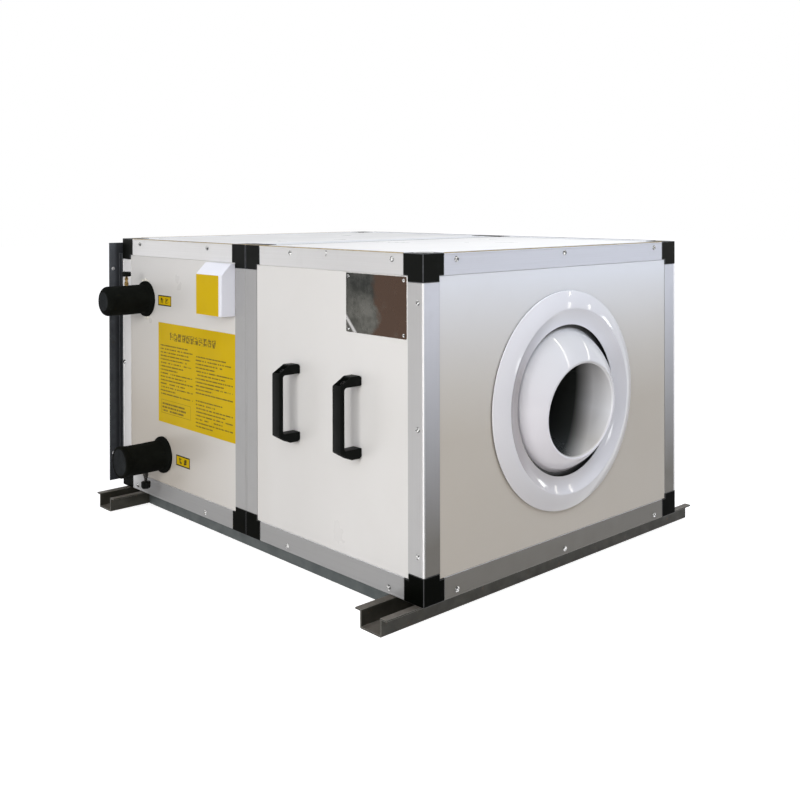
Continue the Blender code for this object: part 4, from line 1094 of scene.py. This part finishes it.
def frame_lines(made, left, right, bottom, top, width):
    """Factor that is 1 on the outline of a rectangle."""
    x, z = made.x, made.z
    outer = made.product(made.between(x, left, right), made.between(z, bottom, top))
    inner = made.product(made.between(x, left + width, right - width),
                         made.between(z, bottom + width, top - width))
    return made.math("SUBTRACT", outer, inner)


def labels(zinc):
    """Instruction sheet, pipe labels, plain plate on the box and the blank name plate."""
    right = COIL_PANEL_END - 0.0002
    width, height = 0.295, 0.210
    top = CASING_BOTTOM + 0.376
    left, bottom = right - width, top - height

    def sheet_print(made):
        marks = glyph_row(made, left + 0.048, left + 0.228, top - 0.0345, top - 0.0185, 11, 3.0)
        blocks = ((0.009, 0.138, 0.044, 0.155, 0.0073, 0.36, 5.0),
                  (0.016, 0.120, 0.166, 0.186, 0.0072, 0.50, 7.0),
                  (0.150, 0.286, 0.054, 0.132, 0.0073, 0.36, 9.0),
                  (0.150, 0.286, 0.143, 0.201, 0.0073, 0.36, 11.0))
        for first, last, high, low, *lines in blocks:
            rows = ink_rows(made, left + first, left + last, top - high, top - low, *lines)
            marks = made.math("MAXIMUM", marks, rows)
        box = frame_lines(made, left + 0.012, left + 0.130, top - 0.190, top - 0.162, 0.0006)
        return made.product(made.math("MAXIMUM", marks, box), 0.82)

    film("instruction_sheet", ((left + right) / 2, PANEL_Y, (top + bottom) / 2),
         (width, height), 0.001, printed_yellow("sheet_yellow", sheet_print), "box_white")

    label_width, label_height = 0.054, 0.022
    for word, x, z in (("upper", -0.7955, 0.4225), ("lower", -0.7225, 0.096)):
        middle = (NOZZLE_X + x, CASING_BOTTOM + z)
        low = (middle[0] - label_width / 2, middle[1] - label_height / 2)
        high = (middle[0] + label_width / 2, middle[1] + label_height / 2)

        def label_print(made):
            marks = frame_lines(made, low[0], high[0], low[1], high[1], 0.0024)
            for shift in (-0.0105, 0.0095):
                block = glyph_row(made, middle[0] + shift - 0.0055, middle[0] + shift + 0.0075,
                                  middle[1] - 0.0058, middle[1] + 0.0058, 1, 9.0 + 100 * shift)
                marks = made.math("MAXIMUM", marks, block)
            return marks

        film(word + "_pipe_label", (middle[0], PANEL_Y, middle[1]),
             (label_width, label_height), 0.0008,
             printed_yellow("label_" + word, label_print, (0.020, 0.017, 0.012)), "box_white")

    box_low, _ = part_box("terminal_box")
    plate = (0.080, 0.078)
    spot = (box_low.x + 0.001 + plate[0] / 2, box_low.y, box_low.z + 0.001 + plate[1] / 2)
    film("box_plate", spot, plate, 0.001, printed_yellow("plate_yellow"), "box_white")

    name_size, centre = (0.150, 0.099), PLATE_CENTRE
    film("name_plate", centre, name_size, 0.002, polished_plate(), "aluminium",
         NAME_PLATE_THICKNESS)
    x, z = (side / 2 - 0.006 for side in name_size)
    places = [centre + Vector((sx * x, -NAME_PLATE_THICKNESS, sz * z))
              for sx in (-1, 1) for sz in (-1, 1)]
    scatter("name_plate_rivets", rivet_head(), places, (0, -1, 0), zinc, "aluminium")


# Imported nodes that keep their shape

def dress_frame():
    """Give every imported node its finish, and round the sharp edges of those that have them."""
    finishes = {
        "black_nylon": nylon(),
        "panel_white": panel_coat(),
        "base_steel": mill_steel("base_steel", (0.027, 0.0262, 0.0205),
                                 (0.053, 0.050, 0.041), 0.6),
        "member_steel": mill_steel("member_steel", (0.082, 0.095, 0.097),
                                   (0.112, 0.126, 0.127), 0.1),
        "flange_steel": mill_steel("flange_steel", (0.026, 0.029, 0.034),
                                   (0.048, 0.053, 0.061), 0.1, flange_light_and_shade),
        "nozzle_white": nozzle_coat(),
        "seal_rubber": patchy("seal_rubber", (60, 3), (0.007, 0.007, 0.008),
                              (0.014, 0.014, 0.015), 0.5, (0.00004, 800, 2)),
        "foam_sleeve": foam("foam_plain", (0.005, 0.005, 0.005), (0.009, 0.009, 0.009), 0.0001),
        "brass": turned_metal("brass", (0.60, 0.41, 0.14), 0.28),
        "valve_dark": turned_metal("darkened_metal", (0.055, 0.052, 0.048), 0.42),
        "knob_black": moulded_black("black_plastic", 900.0),
        "box_white": patchy("housing_white", (12, 3), (0.91, 0.925, 1.0), (0.88, 0.895, 0.98),
                            0.36, (0.00002, 500, 2), gloss=(20, 3, 0.30, 0.42)),
        "handle_black": moulded_black("handle_black"),
        "filter_media": fleece(),
    }
    bars = aluminium("aluminium_bars", True, bar_light_and_shade, 0.15)
    rings = aluminium("aluminium_rings", False, ring_light_and_shade, 0.12)
    # Paler rounded edges are a painted highlight; on the black nylon they darken near the floor as
    # painted shade.
    edge_highlights_and_wear = {slot: edge_highlight_and_wear(slot + "_edge", colour, 0.15 if slot == "black_nylon" else 1.0)
            for slot, (_, colour) in EDGES.items()}
    slots = {row["node"]: row["material_slot"] for row in frame["record"]["subparts"]}
    for name, made in frame["nodes"].items():
        slot = slots[name]
        finish = finishes.get(slot) or (bars if "_bar_" in name else rings)
        made.data.materials.clear()
        made.data.materials.append(finish)
        if slot in EDGES:
            made.data.materials.append(edge_highlights_and_wear[slot])
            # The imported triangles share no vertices, so they are joined into flat faces first
            joined = made.modifiers.new("joined", "WELD")
            joined.merge_threshold = 0.00001
            flat = made.modifiers.new("flat", "DECIMATE")
            flat.decimate_type, flat.angle_limit = "DISSOLVE", math.radians(1)
            edge = made.modifiers.new("edges", "BEVEL")
            edge.width, edge.segments, edge.limit_method = EDGES[slot][0], 2, "ANGLE"
            edge.angle_limit = math.radians(40)
            edge.material = 1
    return finishes


# Stage

def shown(tree, output, bounced, seen):
    """End a tree in a shader for bounced light and one for camera, gloss and glass rays."""
    rays = tree.nodes.new("ShaderNodeLightPath").outputs
    factor = rays["Is Camera Ray"]
    for name in ("Is Glossy Ray", "Is Transmission Ray"):
        factor = tree.math("MAXIMUM", factor, rays[name])
    mixed = tree.node("MixShader", {0: factor, 1: bounced, 2: seen})
    tree.fill(tree.nodes.new(output).inputs["Surface"], mixed)


def floor():
    """Pale floor: white to the eye apart from the object's shadow, warm grey to bounced light."""
    bm = bmesh.new()
    bmesh.ops.create_grid(bm, x_segments=1, y_segments=1, size=FLOOR_REACH)
    look = bpy.data.materials.new("floor")
    tree = Tree(look)
    ground = tree.node("BsdfDiffuse", {"Color": (0.36, 0.325, 0.29)})
    paper = tree.node("BsdfDiffuse", {"Color": (0.80, 0.79, 0.78)})
    glow = tree.node("Emission", {"Color": WHITE, "Strength": 0.76})
    shown(tree, "ShaderNodeOutputMaterial", ground, tree.node("AddShader", {0: paper, 1: glow}))
    add_mesh("floor", bm, look, smooth=False)


def sky():
    """White to the eye and in gloss, a soft cool sky to diffuse surfaces."""
    world = bpy.data.worlds.new("studio")
    bpy.context.scene.world = world
    tree = Tree(world)
    place = tree.nodes.new("ShaderNodeTexCoord").outputs["Generated"]
    y, z = (tree.node("SeparateXYZ", {0: place}, index) for index in (1, 2))
    tint = tree.mix(tree.levels(z, 0.0, 0.7), (0.66, 0.64, 0.61), (0.82, 0.85, 0.93))
    strength = tree.levels(y, 1.0, -1.0, 0.28, 0.74)
    soft = tree.node("Background", {"Color": tint, "Strength": strength})
    white = tree.node("Background", {"Color": WHITE, "Strength": 1.0})
    shown(tree, "ShaderNodeOutputWorld", soft, white)


def lamp(name, place, size, power, colour, aim=None, turn=0.0, gloss_only=False):
    """Rectangular lamp: aimed ones give soft light, those that shine down also show in gloss."""
    data = bpy.data.lights.new(name, "AREA")
    data.shape = "RECTANGLE"
    data.size, data.size_y = size
    data.energy = power
    data.color = colour
    made = placed(name, data)
    made.location = place
    made.visible_camera = False
    if aim:
        made.rotation_euler = (Vector(aim) - Vector(place)).to_track_quat("-Z", "Y").to_euler()
        made.visible_glossy = gloss_only
    else:
        made.rotation_euler.z = math.radians(turn)
    made.visible_diffuse = not gloss_only


def lamps():
    """Key, window, top and cool nozzle lamp, ceiling strips, and what only the gloss shows."""
    middle, warm = (-0.3, 0.0, 0.3), (1.0, 0.94, 0.84)
    lamp("key", (0.9, -2.1, 1.0), (1.4, 1.3), 19, (1.0, 0.985, 0.965), middle)
    lamp("window", (0.25, -2.7, 0.95), (0.4, 0.4), 13, (1.0, 0.99, 0.97), (-0.45, -0.35, 0.3))
    lamp("top", (-0.4, 0.2, 3.0), (3.0, 2.4), 15, (0.97, 0.98, 1.0), middle)
    lamp("nozzle_side", (0.75, 0.32, 1.45), (0.6, 0.6), 8.5, (0.78, 0.87, 1.0),
         (0.05, 0.0, 0.45))
    lamp("strip_near", (1.7, 0.84, CEILING), (2.6, 0.05), 6.0, warm)
    lamp("strip_far", (1.3, 4.0, CEILING), (2.4, 0.10), 9.0, warm)
    lamp("strip_service", (1.7, -2.8, CEILING), (0.8, 0.06), 2.2, warm)
    lamp("strip_deep", (5.4, 10.6, CEILING), (6.9, 0.45), 42, warm, turn=51, gloss_only=True)
    lamp("strip_middle", (5.1, 6.5, CEILING), (4.9, 0.30), 20, warm, turn=46, gloss_only=True)
    lamp("door", (3.5, 11.4, 1.4), (1.2, 1.0), 19, WHITE, middle, gloss_only=True)
    lamp("opening", (7.5, 3.0, 0.7), (1.0, 0.8), 15, WHITE, middle, gloss_only=True)


def camera():
    """Camera at the photograph's place, with the shift that its framing needs."""
    yaw, pitch, roll = CAMERA_YAW, CAMERA_PITCH, CAMERA_ROLL
    forward = Vector((math.cos(pitch) * math.cos(yaw), math.cos(pitch) * math.sin(yaw),
                      math.sin(pitch)))
    right = Vector((math.sin(yaw), -math.cos(yaw), 0.0))
    up = right.cross(forward)
    turned_right = math.cos(roll) * right + math.sin(roll) * up
    turned_up = -math.sin(roll) * right + math.cos(roll) * up
    pose = Matrix((turned_right, turned_up, -forward)).transposed().to_4x4()
    data = bpy.data.cameras.new("camera")
    data.sensor_width = SENSOR
    data.lens = FOCAL_PIXELS / PICTURE * SENSOR
    data.shift_x = (PICTURE / 2 - PRINCIPAL_POINT[0]) / PICTURE
    data.shift_y = (PRINCIPAL_POINT[1] - PICTURE / 2) / PICTURE
    data.clip_start = 0.05
    made = placed("camera", data)
    made.matrix_world = Matrix.Translation(CAMERA_PLACE) @ pose
    bpy.context.scene.camera = made


dressed = dress_frame()
bright = plain_metal("zinc", (0.74, 0.74, 0.73), 0.22, 0.12, 330)
# The black rubber finish also serves as the ring's painted shadow line.
face_ring(nozzle_coat("ring_coat", "ring"), dressed["seal_rubber"])
ball_seal(dressed["seal_rubber"])
aimed_ball(nozzle_coat("ball_coat", "ball"))
pipes()
sealant()
# Nearly black handle screws: painted shade in the handle pockets.
pocket_shade_screw = plain_metal("pocket_shade_screw", (0.020, 0.020, 0.020), 0.35)
bridge_handle("inlet_side_grip", "inlet_side_handle", dressed["handle_black"], pocket_shade_screw)
bridge_handle("nozzle_side_grip", "nozzle_side_handle", dressed["handle_black"], pocket_shade_screw)
fasteners(bright, plain_metal("rivet_metal", (0.60, 0.60, 0.61), 0.3, 0.6), dressed["seal_rubber"])
top_edge_reflection_and_shade()
labels(bright)
floor()
sky()
lamps()
camera()
bpy.context.scene.view_settings.view_transform = "Standard"
